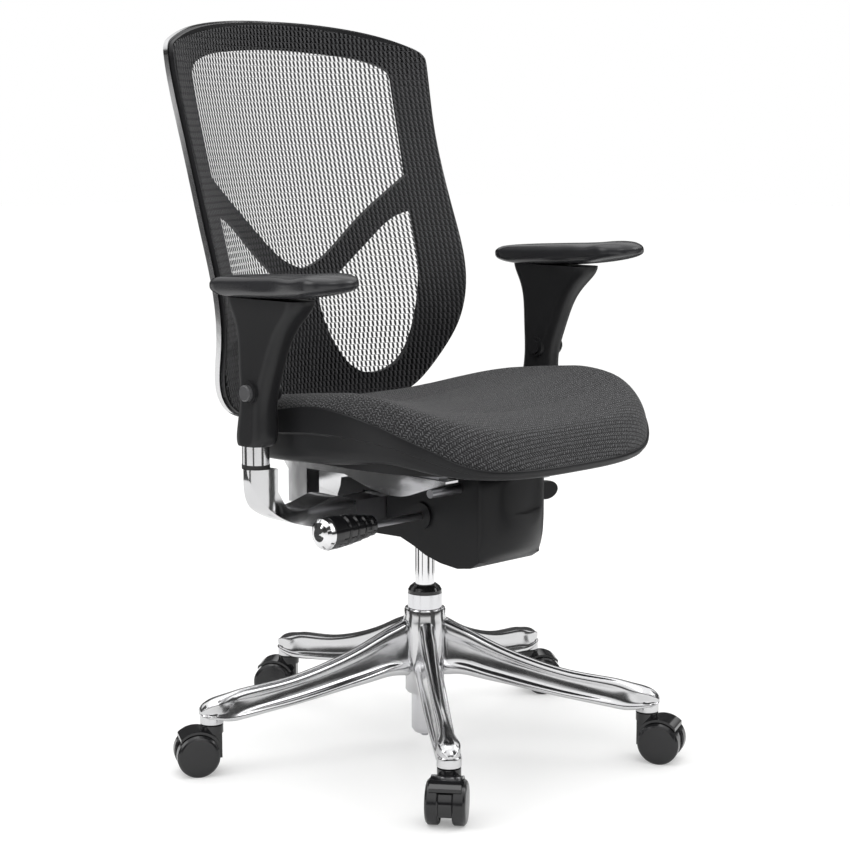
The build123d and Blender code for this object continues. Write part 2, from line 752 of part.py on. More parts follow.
def window(points, closed_half):
    """A window outline on the plane y = 0."""
    if closed_half:
        top = Spline(*[(x, 0, z) for x, z in points[:4]], tangents=((1, 0, 0), (0, 0, -1)))
        side = Spline(*[(x, 0, z) for x, z in points[3:6]])
        low = Spline(*[(x, 0, z) for x, z in points[5:]])
        half = [top, side, low]
        return make_face(half + [mirror(edge, about=Plane.YZ) for edge in half])
    upper = Spline(*[(x, 0, z) for x, z in points[:5]])
    lower = Spline(*[(x, 0, z) for x, z in points[4:] + points[:1]])
    return make_face([upper, lower])


def back_windows():
    upper = through_y(window(UPPER_WINDOW, True))
    lower = through_y(window(LOWER_WINDOW, False))
    return upper + lower + mirrored(lower)


# the yoke's centre line in side view: y, z, heading in degrees above the rear
CARRIER_LINE = (
    (82.0, 350.0, 0.0),
    (150.0, 352.0, 3.0),
    (226.0, 377.0, 38.0),
    (284.0, 444.0, 62.0),
    (304.0, 530.0, 90.0),
)
YOKE_TOP = 640.0
CARRIER_THICK = 20.0
CARRIER_HALF = 42.0
SOCKET_BOTTOM = 533.0
SOCKET_TOP = 600.0


def back_socket():
    """Box on the rear frame that slides on the carrier's upright."""
    inner = CARRIER_HALF + FREE
    outer = inner + 7
    front = CARRIER_LINE[-1][0] - CARRIER_THICK / 2 - FREE
    rear = front + CARRIER_THICK + 2 * FREE
    box = block(-outer, outer, 265, rear + 4, SOCKET_BOTTOM, SOCKET_TOP)
    return box - block(-inner, inner, front, rear, SOCKET_BOTTOM - 1, SOCKET_TOP + 1)


def back_pieces():
    """Mesh sheet, black mesh frame and polished rear frame."""
    mesh = back_slab(0, MESH_THICK) & through_y(back_outline(-2.5))
    frame = back_slab(FRAME_FRONT, FRAME_REAR) & through_y(back_outline())
    frame -= back_windows()
    rim = back_slab(RIM_FRONT, RIM_REAR) & through_y(back_outline(3))
    rim -= through_y(back_outline(-24)) - block(-60, 60, 0, 500, 440, SOCKET_BOTTOM + 15)
    return mesh, frame, rim + back_socket()


def carrier_edge(side):
    """One long edge of the yoke's side outline, half a thickness off its centre line."""
    reach = side * CARRIER_THICK / 2
    points = []
    for y, z, heading in CARRIER_LINE:
        angle = radians(heading)
        points.append((0, y - reach * sin(angle), z + reach * cos(angle)))
    return Spline(*points, tangents=((0, 1, 0), (0, 0, 1)))


def back_carrier():
    """Polished yoke from the tilt shaft, under the seat and up behind the back."""
    upper = carrier_edge(1)
    lower = carrier_edge(-1)
    top_front = (0, (upper @ 1).Y, YOKE_TOP)
    top_rear = (0, (lower @ 1).Y, YOKE_TOP)
    upright = Polyline(upper @ 1, top_front, top_rear, lower @ 1)
    outline = make_face([upper, upright, lower, Line(lower @ 0, upper @ 0)])
    yoke = extrude(outline, amount=CARRIER_HALF, both=True, dir=(1, 0, 0))
    for side in (-1, 1):
        x = side * 45
        yoke -= block(x - 45 + YOKE_HALF, x + 45 - YOKE_HALF, 0, 118, 300, 420)
    yoke += rod_x(15, -YOKE_HALF, YOKE_HALF, *BACK_PIVOT)
    return yoke - rod_x(BACK_SHAFT_R + RUN, -60, 60, *BACK_PIVOT)


# ---- seat ------------------------------------------------------------------------------
def seat_plan(inset=0.0):
    """Rounded rear corners and a broad rounded front."""
    half = SEAT_HALF - inset
    rear = SEAT_REAR - inset
    front = SEAT_FRONT + inset
    corner = 62.0
    knee = 0.7071 * corner
    turn = (half - corner + knee, rear - corner + knee)
    nose = ((half, SEAT_BEND_Y), (half * 0.925, SEAT_BEND_Y - 82), (half * 0.66, front + 44), (0, front))
    side = [
        Line((0, rear), (half - corner, rear)),
        ThreePointArc((half - corner, rear), turn, (half, rear - corner)),
        Line((half, rear - corner), (half, SEAT_BEND_Y)),
        Spline(*nose, tangents=((0, -1), (-1, 0))),
    ]
    return make_face(side + [mirror(edge, about=Plane.YZ) for edge in side])


# y and z along the seat's side: the rim where the cover meets the pan, and the seat's top
RIM_LINE = (
    (170.0, 520.0),
    (26.0, 530.0),
    (-52.0, 536.0),
    (-113.0, 529.0),
    (-157.0, 519.0),
    (-190.0, 501.0),
    (-225.0, 478.0),
    (-260.0, 461.0),
    (-330.0, 446.0),
)
TOP_LINE = (
    (170.0, 530.0),
    (76.0, 541.0),
    (14.0, 551.0),
    (-62.0, 556.0),
    (-125.0, 551.0),
    (-200.0, 534.0),
    (-250.0, 510.0),
    (-290.0, 470.0),
    (-330.0, 452.0),
)


def seat_pan():
    """Deep moulded tray: high at the rear, a thin lip at the front."""
    def body(inset, crest):
        floor = PAN_BOTTOM + inset
        under = yz(((-330, 437 + inset), (-230, 435 + inset), (-110, floor), (170, floor)))
        side = make_face([crest, Polyline(crest @ 1, *under, crest @ 0)])
        across = make_face(Polyline(
            (-300, 0, 600), (-300, 0, 470 + inset), (-SEAT_HALF + inset * 0.4, 0, 455 + inset),
            (-205, 0, floor - 0.5), (205, 0, floor - 0.5), (SEAT_HALF - inset * 0.4, 0, 455 + inset),
            (300, 0, 470 + inset), (300, 0, 600), close=True))
        solid = extrude(side, amount=300, both=True, dir=(1, 0, 0))
        solid &= extrude(across, amount=400, both=True, dir=(0, 1, 0))
        return solid & Pos(0, 0, 400) * extrude(seat_plan(inset), amount=200)
    rim = Spline(*yz(RIM_LINE))
    above = Line((0, RIM_LINE[0][0], 590), (0, RIM_LINE[-1][0], 590))
    return body(0.0, rim) - body(6.0, above)


def seat_cushion():
    """Plain closed form of the padded cushion, from the tray's floor to the crown."""
    top = Spline(*yz(TOP_LINE))
    low = Polyline(*yz((TOP_LINE[-1], (-330, 449), (-230, 446.5), (-110, 446), (170, 446),
                        TOP_LINE[0])))
    side = make_face([top, low])
    across = make_face([
        Spline((-300, 0, 545), (-230, 0, 557), (-130, 0, 540), (0, 0, 532), (130, 0, 540), (230, 0, 557),
               (300, 0, 545)),
        Polyline((300, 0, 545), (300, 0, 482), (248, 0, 474), (200, 0, 446), (-200, 0, 446), (-248, 0, 474),
                 (-300, 0, 482), (-300, 0, 545)),
    ])
    solid = extrude(side, amount=300, both=True, dir=(1, 0, 0))
    solid &= extrude(across, amount=400, both=True, dir=(0, 1, 0))
    return solid & Pos(0, 0, 400) * extrude(seat_plan(10.5), amount=200)


def seat_carrier():
    """Polished aluminium carrier: two rails with a dipped nose and a rear cross-bar."""
    rail_side = make_face([
        Polyline(*yz(((-95, 400), (-156, 421), (-156, CARRIER_TOP), (166, CARRIER_TOP),
                      (166, 357), (126, 357), (126, 410), (45, 411)))),
        Spline(*yz(((45, 411), (0, 399), (-50, 392), (-95, 400)))),
    ])
    rail = Pos(RAIL_X, 0, 0) * extrude(rail_side, amount=RAIL_WIDTH / 2, both=True, dir=(1, 0, 0))
    frame = rail + mirrored(rail)
    reach = RAIL_X - RAIL_WIDTH / 2 + 1
    frame += block(-reach, reach, 132, 164, 406, CARRIER_TOP)
    return frame - rod_x(SEAT_SHAFT_R + RUN, -140, 140, *SEAT_PIVOT)


def seat_slide_rails():
    right = block(-RAIL_X - 8, -RAIL_X + 8, -140, 150, CARRIER_TOP + SEAT, PAN_BOTTOM - 2 * FREE)
    return right, mirrored(right)


# ---- write every node ------------------------------------------------------------------
save("base_star", base_star())
save("lift_outer_tube", lift_outer_tube())
save("lift_guide_bush", lift_guide_bush())
save("lift_thrust_bearing", lift_thrust_bearing())
save("lift_retaining_clip", lift_retaining_clip())
save("lift_piston_rod", lift_piston_rod())
save("lift_cylinder", lift_cylinder())
save("lift_valve_pin", lift_valve_pin())

housing = caster_housing()
stem, axle = caster_pins()
wheel_left = caster_wheel(1)
wheel_right = caster_wheel(-1)
for index in range(LEGS):
    spot = caster_place(index)
    number = index + 1
    save(f"caster_{number}_housing", spot * housing)
    save(f"caster_{number}_pins", spot * stem, spot * axle)
    save(f"caster_{number}_wheel_left", spot * wheel_left)
    save(f"caster_{number}_wheel_right", spot * wheel_right)

rear_cover, front_cover = mechanism_covers()
save("mechanism_cover", rear_cover)
save("mechanism_front_cover", front_cover)
save("tilt_chassis", tilt_chassis())
save("pivot_shafts", *pivot_shafts())
save("tilt_springs", *tilt_springs())
knob_shaft, knob_grip, knob_cap = tension_knob()
save("tension_knob_shaft", knob_shaft)
save("tension_knob_grip", knob_grip)
save("tension_knob_cap", knob_cap)
save("height_lever", height_lever())
save("height_lever_paddle", height_lever_paddle())

bracket = arm_bracket()
post = arm_post()
gasket = arm_gasket()
sleeve = arm_sleeve()
button = arm_button()
pad_base = arm_pad_base()
pad = arm_pad()
raised = Pos(0, 0, ARM_NOTCH)
save("arm_bracket_right", bracket)
save("arm_bracket_left", mirrored(bracket))
save("arm_bracket_bolts", *arm_bracket_bolts())
save("arm_post_right", post)
save("arm_post_left", mirrored(post))
save("arm_gaskets", gasket, mirrored(gasket))
arm_pieces = {"arm_sleeve": sleeve, "arm_button": button, "arm_pad_base": pad_base, "arm_pad": pad}
for name, piece in arm_pieces.items():
    save(f"{name}_right", piece)
    save(f"{name}_left", raised * mirrored(piece))

mesh, mesh_frame, rear_rim = back_pieces()
save("back_mesh", mesh)
save("back_mesh_frame", mesh_frame)
save("back_rear_frame", rear_rim)
save("back_carrier", back_carrier())

save("seat_carrier", seat_carrier())
save("seat_slide_rails", *seat_slide_rails())
save("seat_pan", seat_pan())
save("seat_cushion", seat_cushion())
print("nodes written:", len(os.listdir("parts")))
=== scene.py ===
# %% [markdown]
# # A swivel office chair: the looks around a fixed frame
# The frame is loaded first. It holds every working part at its real size, and nothing in
# this file moves or resizes a part of it. Lengths in this file are written in millimetres
# and turned into metres with `MM`.

# %% Load the frame
import bpy
import bmesh
from math import atan2, cos, exp, hypot, pi, radians, sin
from mathutils import Matrix, Vector


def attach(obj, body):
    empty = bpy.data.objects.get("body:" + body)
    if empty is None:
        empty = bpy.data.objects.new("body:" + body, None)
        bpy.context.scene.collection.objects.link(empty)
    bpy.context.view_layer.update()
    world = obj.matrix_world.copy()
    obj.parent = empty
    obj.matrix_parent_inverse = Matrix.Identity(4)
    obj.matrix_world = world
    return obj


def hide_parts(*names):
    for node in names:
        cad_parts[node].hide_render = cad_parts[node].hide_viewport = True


MM = 0.001
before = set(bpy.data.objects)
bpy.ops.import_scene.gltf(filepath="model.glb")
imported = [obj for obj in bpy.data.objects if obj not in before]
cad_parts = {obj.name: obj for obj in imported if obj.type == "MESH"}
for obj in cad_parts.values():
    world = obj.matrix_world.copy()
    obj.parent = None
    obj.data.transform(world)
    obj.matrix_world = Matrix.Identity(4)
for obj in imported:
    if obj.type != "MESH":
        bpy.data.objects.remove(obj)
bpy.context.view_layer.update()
bpy.ops.object.select_all(action="DESELECT")
print("nodes in the frame:", len(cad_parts))

# %% [markdown]
# ## Tools used by every piece
# Most pieces here are lofts: one outline is drawn and pulled along the part, and changes
# on the way. By hand that is a circle primitive in edit mode, extruded again and again,
# with each new ring set on its outline. `ring_loft` does just that. Cushions start from a
# sphere and sheets from a grid, because those already have the right rings and rows.

# %% Clean-up and modifiers
MERGE_DISTANCE = 0.00001
SMOOTH_ANGLE = 35.0


def select_only(obj):
    """Select one object and make it the active one."""
    bpy.ops.object.select_all(action="DESELECT")
    obj.select_set(True)
    bpy.context.view_layer.objects.active = obj


def finish_mesh(obj, angle=SMOOTH_ANGLE):
    """Merge doubles, point the faces outwards and smooth all but the sharp edges."""
    select_only(obj)
    bpy.ops.object.transform_apply(location=True, rotation=True, scale=True)
    bpy.ops.object.mode_set(mode="EDIT")
    bpy.ops.mesh.select_all(action="SELECT")
    bpy.ops.mesh.remove_doubles(threshold=MERGE_DISTANCE)
    bpy.ops.mesh.normals_make_consistent(inside=False)
    bpy.ops.object.mode_set(mode="OBJECT")
    bpy.ops.object.shade_smooth_by_angle(angle=radians(angle))
    obj.select_set(False)
    return obj


def apply_modifier(obj, kind, **settings):
    """Add one modifier, set it and apply it."""
    select_only(obj)
    modifier = obj.modifiers.new(kind.lower(), kind)
    for name, value in settings.items():
        setattr(modifier, name, value)
    bpy.ops.object.modifier_apply(modifier=modifier.name)
    obj.select_set(False)


def subdivide(obj, levels):
    """Round a piece with subdivision."""
    apply_modifier(obj, "SUBSURF", levels=levels, render_levels=levels)


print("doubles are merged below", MERGE_DISTANCE, "m; edges are smooth below", SMOOTH_ANGLE, "degrees")


# %% Lofts and turned pieces
START_RADIUS = 0.01  # of the circle that a loft begins with, before its first outline


def ring_loft(name, rings, levels=0, angle=SMOOTH_ANGLE):
    """Extrude a circle ring by ring and set each new ring on its outline, in millimetres."""
    bpy.ops.object.select_all(action="DESELECT")
    bpy.ops.mesh.primitive_circle_add(vertices=len(rings[0]), radius=START_RADIUS, fill_type="NGON")
    obj = bpy.context.object
    obj.name = name
    bpy.ops.object.mode_set(mode="EDIT")
    bpy.ops.mesh.select_all(action="SELECT")
    mesh = bmesh.from_edit_mesh(obj.data)
    ring = list(mesh.verts)
    for step, outline in enumerate(rings):
        if step:
            before = [vertex.co.copy() for vertex in ring]
            bpy.ops.mesh.extrude_region_move()
            mesh = bmesh.from_edit_mesh(obj.data)
            fresh = [vertex for vertex in mesh.verts if vertex.select]
            ring = [min(fresh, key=lambda v: (v.co - place).length_squared) for place in before]
        for vertex, point in zip(ring, outline):
            vertex.co = Vector(point) * MM
        bmesh.update_edit_mesh(obj.data)
    bpy.ops.object.mode_set(mode="OBJECT")
    if levels:
        finish_mesh(obj)
        subdivide(obj, levels)
    return finish_mesh(obj, angle)


def turned(name, profile, sides):
    """A turned piece: circles of (radius, height) about the column's axis."""
    rings = []
    for radius, height in profile:
        rings.append([(radius * cos(2 * pi * i / sides), radius * sin(2 * pi * i / sides), height)
                      for i in range(sides)])
    return ring_loft(name, rings)


print("lofts start from a circle of radius", START_RADIUS, "m")


# %% Copies, joins, flat cloth and curves
def copy_of(obj, name, matrix):
    """A copy with its own mesh, moved by a matrix inside that mesh."""
    twin = obj.copy()
    twin.data = obj.data.copy()
    twin.name = name
    twin.data.transform(matrix)
    bpy.context.collection.objects.link(twin)
    if matrix.determinant() < 0:
        finish_mesh(twin)
    return twin


def join(name, pieces):
    """One object from several."""
    bpy.ops.object.select_all(action="DESELECT")
    for piece in pieces:
        piece.select_set(True)
    bpy.context.view_layer.objects.active = pieces[0]
    bpy.ops.object.join()
    pieces[0].name = name
    pieces[0].select_set(False)
    return pieces[0]


def lay_out(obj, spread):
    """Give a piece a UV map in metres: spread turns a vertex into a place on flat cloth."""
    maps = obj.data.uv_layers
    layer = maps[0] if maps else maps.new(name="cloth")
    layer.name = "cloth"
    for loop in obj.data.loops:
        layer.data[loop.index].uv = spread(obj.data.vertices[loop.vertex_index])


def between(value, table):
    """Read a smooth curve through (key, value) points at a key."""
    if value <= table[0][0]:
        return table[0][1]
    if value >= table[-1][0]:
        return table[-1][1]
    for i in range(len(table) - 1):
        if value <= table[i + 1][0]:
            break
    (k1, v1), (k2, v2) = table[i], table[i + 1]
    k0, v0 = table[max(i - 1, 0)]
    k3, v3 = table[min(i + 2, len(table) - 1)]
    start = (v2 - v0) / (k2 - k0) * (k2 - k1)
    end = (v3 - v1) / (k3 - k1) * (k2 - k1)
    t = (value - k1) / (k2 - k1)
    return ((2 * t ** 3 - 3 * t ** 2 + 1) * v1 + (t ** 3 - 2 * t ** 2 + t) * start
            + (3 * t ** 2 - 2 * t ** 3) * v2 + (t ** 3 - t ** 2) * end)


def dress(obj, material, body, nodes=()):
    """Give a finished piece its material and its body, and hide the nodes it stands for."""
    obj.data.materials.clear()
    obj.data.materials.append(material)
    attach(obj, body)
    if nodes:
        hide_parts(*nodes)
    print(f"{obj.name}: {len(obj.data.polygons)} faces on {body}")


print("halfway along a straight table the curve reads", between(5, ((0, 0), (10, 10))))

# %% [markdown]
# ## Shader groups
# Several finishes share the same small effects, so each effect is one node group: the fine
# grain of moulded plastic, the slow ripple of a polished casting, and the light haze that
# hands leave on gloss. A group only puts out a value or a normal, and the shader itself
# stays in each material.

# %% Helpers for node groups
def group(name, inputs, outputs):
    """A new shader node group with named sockets."""
    tree = bpy.data.node_groups.new(name, "ShaderNodeTree")
    for label, kind, value in inputs:
        socket = tree.interface.new_socket(label, in_out="INPUT", socket_type=kind)
        if value is not None:
            socket.default_value = value
    for label, kind in outputs:
        tree.interface.new_socket(label, in_out="OUTPUT", socket_type=kind)
    entry = tree.nodes.new("NodeGroupInput")
    leave = tree.nodes.new("NodeGroupOutput")
    return tree, entry, leave


def maths(tree, operation, first, second=None, third=None):
    """One math node; each operand is a socket or a number."""
    node = tree.nodes.new("ShaderNodeMath")
    node.operation = operation
    for index, operand in enumerate((first, second, third)):
        if operand is None:
            continue
        if isinstance(operand, (int, float)):
            node.inputs[index].default_value = operand
        else:
            tree.links.new(operand, node.inputs[index])
    return node.outputs[0]


def noise(tree, vector, scale, detail, roughness=0.55):
    """One noise texture; its scale is a socket or a number."""
    node = tree.nodes.new("ShaderNodeTexNoise")
    tree.links.new(vector, node.inputs["Vector"])
    if isinstance(scale, (int, float)):
        node.inputs["Scale"].default_value = scale
    else:
        tree.links.new(scale, node.inputs["Scale"])
    node.inputs["Detail"].default_value = detail
    node.inputs["Roughness"].default_value = roughness
    return node.outputs["Fac"]


def group_node(tree, node_group, vector):
    """Place a node group in a tree and feed its Vector input."""
    node = tree.nodes.new("ShaderNodeGroup")
    node.node_tree = node_group
    tree.links.new(vector, node.inputs["Vector"])
    return node


def new_material(name):
    """A material with nodes, its tree and its shader."""
    material = bpy.data.materials.new(name)
    material.use_nodes = True
    return material, material.node_tree, material.node_tree.nodes["Principled BSDF"]


def bump_into(tree, shader, height, strength, distance):
    """Feed a height to a shader's Normal through a Bump node."""
    bump = tree.nodes.new("ShaderNodeBump")
    bump.inputs["Strength"].default_value = strength
    bump.inputs["Distance"].default_value = distance
    tree.links.new(height, bump.inputs["Height"])
    tree.links.new(bump.outputs["Normal"], shader.inputs["Normal"])


print("node groups in the file so far:", len(bpy.data.node_groups))


# %% Grain, ripple and haze
BUMP_STRENGTH = 0.6


def make_bumpy_group(name, scale, depth, detail):
    """Noise as a bump: small scale values give ripples, large ones a grain."""
    tree, entry, leave = group(
        name,
        [("Vector", "NodeSocketVector", None), ("Scale", "NodeSocketFloat", scale),
         ("Depth", "NodeSocketFloat", depth)],
        [("Normal", "NodeSocketVector")])
    height = noise(tree, entry.outputs["Vector"], entry.outputs["Scale"], detail)
    bump = tree.nodes.new("ShaderNodeBump")
    bump.inputs["Strength"].default_value = BUMP_STRENGTH
    tree.links.new(entry.outputs["Depth"], bump.inputs["Distance"])
    tree.links.new(height, bump.inputs["Height"])
    tree.links.new(bump.outputs["Normal"], leave.inputs["Normal"])
    return tree


def make_haze_group():
    """Roughness that drifts between two values, as on a surface that hands have touched."""
    tree, entry, leave = group(
        "handled_haze",
        [("Vector", "NodeSocketVector", None), ("Clean", "NodeSocketFloat", 0.1),
         ("Hazy", "NodeSocketFloat", 0.2)],
        [("Roughness", "NodeSocketFloat")])
    patch = noise(tree, entry.outputs["Vector"], scale=14.0, detail=5.0, roughness=0.65)
    share = maths(tree, "SMOOTH_MIN", maths(tree, "MULTIPLY", patch, patch), 1.0, 0.1)
    span = maths(tree, "SUBTRACT", entry.outputs["Hazy"], entry.outputs["Clean"])
    rough = maths(tree, "MULTIPLY_ADD", share, span, entry.outputs["Clean"])
    tree.links.new(rough, leave.inputs["Roughness"])
    return tree


moulded_grain = make_bumpy_group("moulded_grain", 1400.0, 0.00012, 2.0)
cast_ripple = make_bumpy_group("cast_ripple", 22.0, 0.0006, 1.5)
handled_haze = make_haze_group()
print("shared effects:", [tree.name for tree in (moulded_grain, cast_ripple, handled_haze)])

# %% [markdown]
# ## Plain finishes
# Every hard finish is the same recipe: Object coordinates feed the bump group and the haze
# group, and the constants sit on the shader's own sockets. Polished aluminium is nearly a
# mirror, with the faint ripple of hand polishing. Covers are black plastic with an even
# spark-eroded grain. Caster hoods and the knob's grip are gloss black, and the wheels and
# the skin of the arm pads have a softer shine.

# %% The recipe of a hard finish
COAT_ROUGHNESS = 0.04


def finish(name, colour, metallic, clean, hazy, bump, scale, depth, coat=0.0, specular=0.5):
    """A hard finish: colour, gloss range and surface relief."""
    material, tree, shader = new_material(name)
    shader.inputs["Base Color"].default_value = (*colour, 1)
    shader.inputs["Metallic"].default_value = metallic
    shader.inputs["Coat Weight"].default_value = coat
    shader.inputs["Coat Roughness"].default_value = COAT_ROUGHNESS
    shader.inputs["Specular IOR Level"].default_value = specular
    where = tree.nodes.new("ShaderNodeTexCoord").outputs["Object"]
    relief = group_node(tree, bump, where)
    relief.inputs["Scale"].default_value = scale
    relief.inputs["Depth"].default_value = depth
    haze = group_node(tree, handled_haze, where)
    haze.inputs["Clean"].default_value = clean
    haze.inputs["Hazy"].default_value = hazy
    tree.links.new(relief.outputs["Normal"], shader.inputs["Normal"])
    tree.links.new(haze.outputs["Roughness"], shader.inputs["Roughness"])
    return material


print("every hard finish uses", moulded_grain.name, "or", cast_ripple.name, "and", handled_haze.name)

# %% Metals
polished_aluminium = finish("polished_aluminium", (0.74, 0.74, 0.75), 1.0, 0.10, 0.26,
                            cast_ripple, 24.0, 0.0005)
plated_steel = finish("plated_steel", (0.80, 0.80, 0.82), 1.0, 0.10, 0.22, cast_ripple, 60.0, 0.0001)
mirror_chrome = finish("mirror_chrome", (0.90, 0.90, 0.91), 1.0, 0.03, 0.10, cast_ripple, 30.0, 0.0001)
plain_steel = finish("plain_steel", (0.45, 0.45, 0.47), 1.0, 0.30, 0.45, moulded_grain, 300.0, 0.0001)
metals = (polished_aluminium, plated_steel, mirror_chrome, plain_steel)
print("metals:", [material.name for material in metals])

# %% Plastics and rubber
cover_plastic = finish("cover_plastic", (0.010, 0.010, 0.011), 0.0, 0.34, 0.48,
                       moulded_grain, 1300.0, 0.00010, specular=0.28)
sleeve_plastic = finish("sleeve_plastic", (0.012, 0.012, 0.013), 0.0, 0.34, 0.46,
                        moulded_grain, 1000.0, 0.00014, specular=0.36)
gloss_plastic = finish("gloss_plastic", (0.010, 0.010, 0.011), 0.0, 0.10, 0.22,
                       moulded_grain, 300.0, 0.00002, coat=0.4)
bush_plastic = finish("bush_plastic", (0.012, 0.012, 0.012), 0.0, 0.12, 0.25,
                      moulded_grain, 400.0, 0.00002, coat=0.3)
wheel_nylon = finish("wheel_nylon", (0.012, 0.012, 0.013), 0.0, 0.16, 0.34,
                     moulded_grain, 500.0, 0.00004, coat=0.2)
gasket_rubber = finish("gasket_rubber", (0.012, 0.012, 0.012), 0.0, 0.55, 0.75,
                       moulded_grain, 700.0, 0.0001)
pad_skin = finish("pad_skin", (0.022, 0.022, 0.024), 0.0, 0.22, 0.34, moulded_grain, 900.0, 0.00006)
button_plastic = finish("button_plastic", (0.075, 0.075, 0.078), 0.0, 0.26, 0.38,
                        moulded_grain, 700.0, 0.00005)
plastics = (cover_plastic, sleeve_plastic, gloss_plastic, bush_plastic, wheel_nylon,
            gasket_rubber, pad_skin, button_plastic)
print("plastics and rubber:", [material.name for material in plastics])

# %% [markdown]
# ## Finishes of the frame's own parts
# Most of the chair is the frame's own nodes. Each gets the finish that the start of its name
# asks for. Shafts, bolts, springs and pins inside are plain steel. The nodes that a new mesh
# stands for are hidden, so their finish doesn't matter.

# %% Dress the nodes
NODE_FINISH = {
    "lift_outer_tube": plated_steel,
    "lift_cylinder": mirror_chrome,
    "tension_knob_cap": mirror_chrome,
    "lift_guide_bush": bush_plastic,
    "back_rear_frame": polished_aluminium,
    "back_carrier": polished_aluminium,
    "seat_carrier": polished_aluminium,
    "arm_bracket": polished_aluminium,
    "arm_post": polished_aluminium,
    "arm_gaskets": gasket_rubber,
    "arm_sleeve": sleeve_plastic,
    "arm_button": button_plastic,
    "tension_knob_grip": gloss_plastic,
    "mechanism": cover_plastic,
    "back_mesh_frame": cover_plastic,
    "height_lever_paddle": cover_plastic,
}


def finish_of(name):
    """The finish of one of the frame's nodes, by the start of its name."""
    if name.startswith("caster"):
        if "wheel" in name:
            return wheel_nylon
        return gloss_plastic if "housing" in name else plain_steel
    for start, material in NODE_FINISH.items():
        if name.startswith(start):
            return material
    return plain_steel


for name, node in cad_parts.items():
    node.data.materials.clear()
    node.data.materials.append(finish_of(name))
print("nodes dressed:", len(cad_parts))

# %% [markdown]
# ## The woven back mesh
# The back is one stretched sheet of dark mesh over a wrapped frame. It is a grid, bent in
# one formula: the centre line leans and curves with height, and each side wraps forward
# with the square of its distance from the middle. The rows end on the sheet's outline, so
# the top is crowned and the foot is round.

# %% Measures of the back
# height and depth of the centre line, then height and wrap of the back
BACK_CENTRE = ((430, 256), (500, 254), (560, 250), (620, 246.5), (690, 259), (760, 273.5),
               (820, 286), (900, 303), (977, 316), (1053, 321), (1110, 321))
BACK_WRAP = ((430, 1.25), (500, 1.35), (560, 1.50), (620, 1.65), (690, 1.72), (760, 1.58),
             (820, 1.45), (900, 1.30), (977, 1.17), (1053, 1.10), (1110, 1.08))
# share of the way up the edge, half width and height of the sheet's edge
EDGE_WIDTH = ((0.00, 128), (0.07, 184), (0.15, 220), (0.25, 238.5), (0.36, 244), (0.52, 243),
              (0.69, 244), (0.87, 249), (0.915, 248), (0.94, 243.5), (0.955, 236), (0.965, 226))
EDGE_HEIGHT = ((0.00, 478), (0.07, 500.5), (0.15, 557), (0.25, 630), (0.36, 700), (0.52, 800),
               (0.69, 900), (0.87, 996), (0.915, 1008), (0.94, 1013.5), (0.955, 1018), (0.965, 1021))
EDGE_END = 0.965
SHEET_FOOT = 472.5
SHEET_TOP = 1051.0
print("the sheet is", SHEET_TOP - SHEET_FOOT, "mm tall at its middle")

# %% Shape of the back sheet
COLUMNS = 120
ROWS = 150
SLOPE_REACH = 20        # the centre line's slope is taken this far above and below a point
SHEET_DEPTH = 0.3       # how far behind the back's surface the sheet lies
BORDER_START = 0.985    # the last of the width, where the sheet turns back round its frame
BORDER_SPAN = 0.015
BORDER_TUCK = 1.2
SHEET_THICKNESS = 0.0009
ARC_GAIN = 0.667        # the way round a curve y = w * x * x is x * (1 + two thirds of (w * x) squared)


def back_surface(x, z, depth=0.0):
    """The point of the back at a distance from the middle, a height and a depth behind."""
    centre = between(z, BACK_CENTRE)
    wrap = between(z, BACK_WRAP) * MM
    slope = -2 * wrap * x
    above, below = between(z + SLOPE_REACH, BACK_CENTRE), between(z - SLOPE_REACH, BACK_CENTRE)
    rise = (above - below) / (2 * SLOPE_REACH)
    size = (1 + slope * slope + rise * rise) ** 0.5
    return Vector((x - slope * depth / size, centre - wrap * x * x + depth / size,
                   z - rise * depth / size))


def sheet_point(across, up):
    """A place on the sheet: across runs from -1 to 1 and up from 0 to 1."""
    share = up * EDGE_END
    width = between(share, EDGE_WIDTH)
    edge = between(share, EDGE_HEIGHT)
    first, last = EDGE_HEIGHT[0][1], EDGE_HEIGHT[-1][1]
    middle = SHEET_FOOT + (edge - first) * (SHEET_TOP - SHEET_FOOT) / (last - first)
    return across * width, middle + (edge - middle) * across * across


bpy.ops.object.select_all(action="DESELECT")
bpy.ops.mesh.primitive_grid_add(x_subdivisions=COLUMNS, y_subdivisions=ROWS, size=2)
back_sheet = bpy.context.object
back_sheet.name = "woven_back_mesh"
for vertex in back_sheet.data.vertices:
    x, z = sheet_point(vertex.co.x, (vertex.co.y + 1) / 2)
    border = max(0.0, abs(vertex.co.x) - BORDER_START) / BORDER_SPAN
    vertex.co = back_surface(x, z, SHEET_DEPTH + BORDER_TUCK * border * border) * MM
for polygon in back_sheet.data.polygons:
    polygon.use_smooth = True


def back_cloth(vertex):
    """Flat cloth: the distance round the wrap, and the height."""
    point = vertex.co
    wrap = between(point.z / MM, BACK_WRAP)
    return point.x * (1 + ARC_GAIN * (wrap * point.x) ** 2), point.z


lay_out(back_sheet, back_cloth)
apply_modifier(back_sheet, "SOLIDIFY", thickness=SHEET_THICKNESS, offset=0.0)
print("back sheet:", len(back_sheet.data.polygons), "faces")

# %% [markdown]
# ## The mesh's weave
# The mesh is an open net: short dark bundles of thread stand in columns, each leaning a
# little, and a thin weft thread ties every row of them. The group works in millimetres of
# flat cloth: it finds the cell that a point is in and how far the point is from the
# bundle's middle. The mask goes to Alpha, so what stands behind shows through the net.

# %% Mesh weave group
TO_MM = 1000.0
LEAN = 0.34             # how far a bundle leans over its cell's height
BUNDLE_HALF_WIDTH = 0.235
BUNDLE_HALF_HEIGHT = 0.43
WEFT_START = 0.465      # from here to the cell's edge runs the weft thread


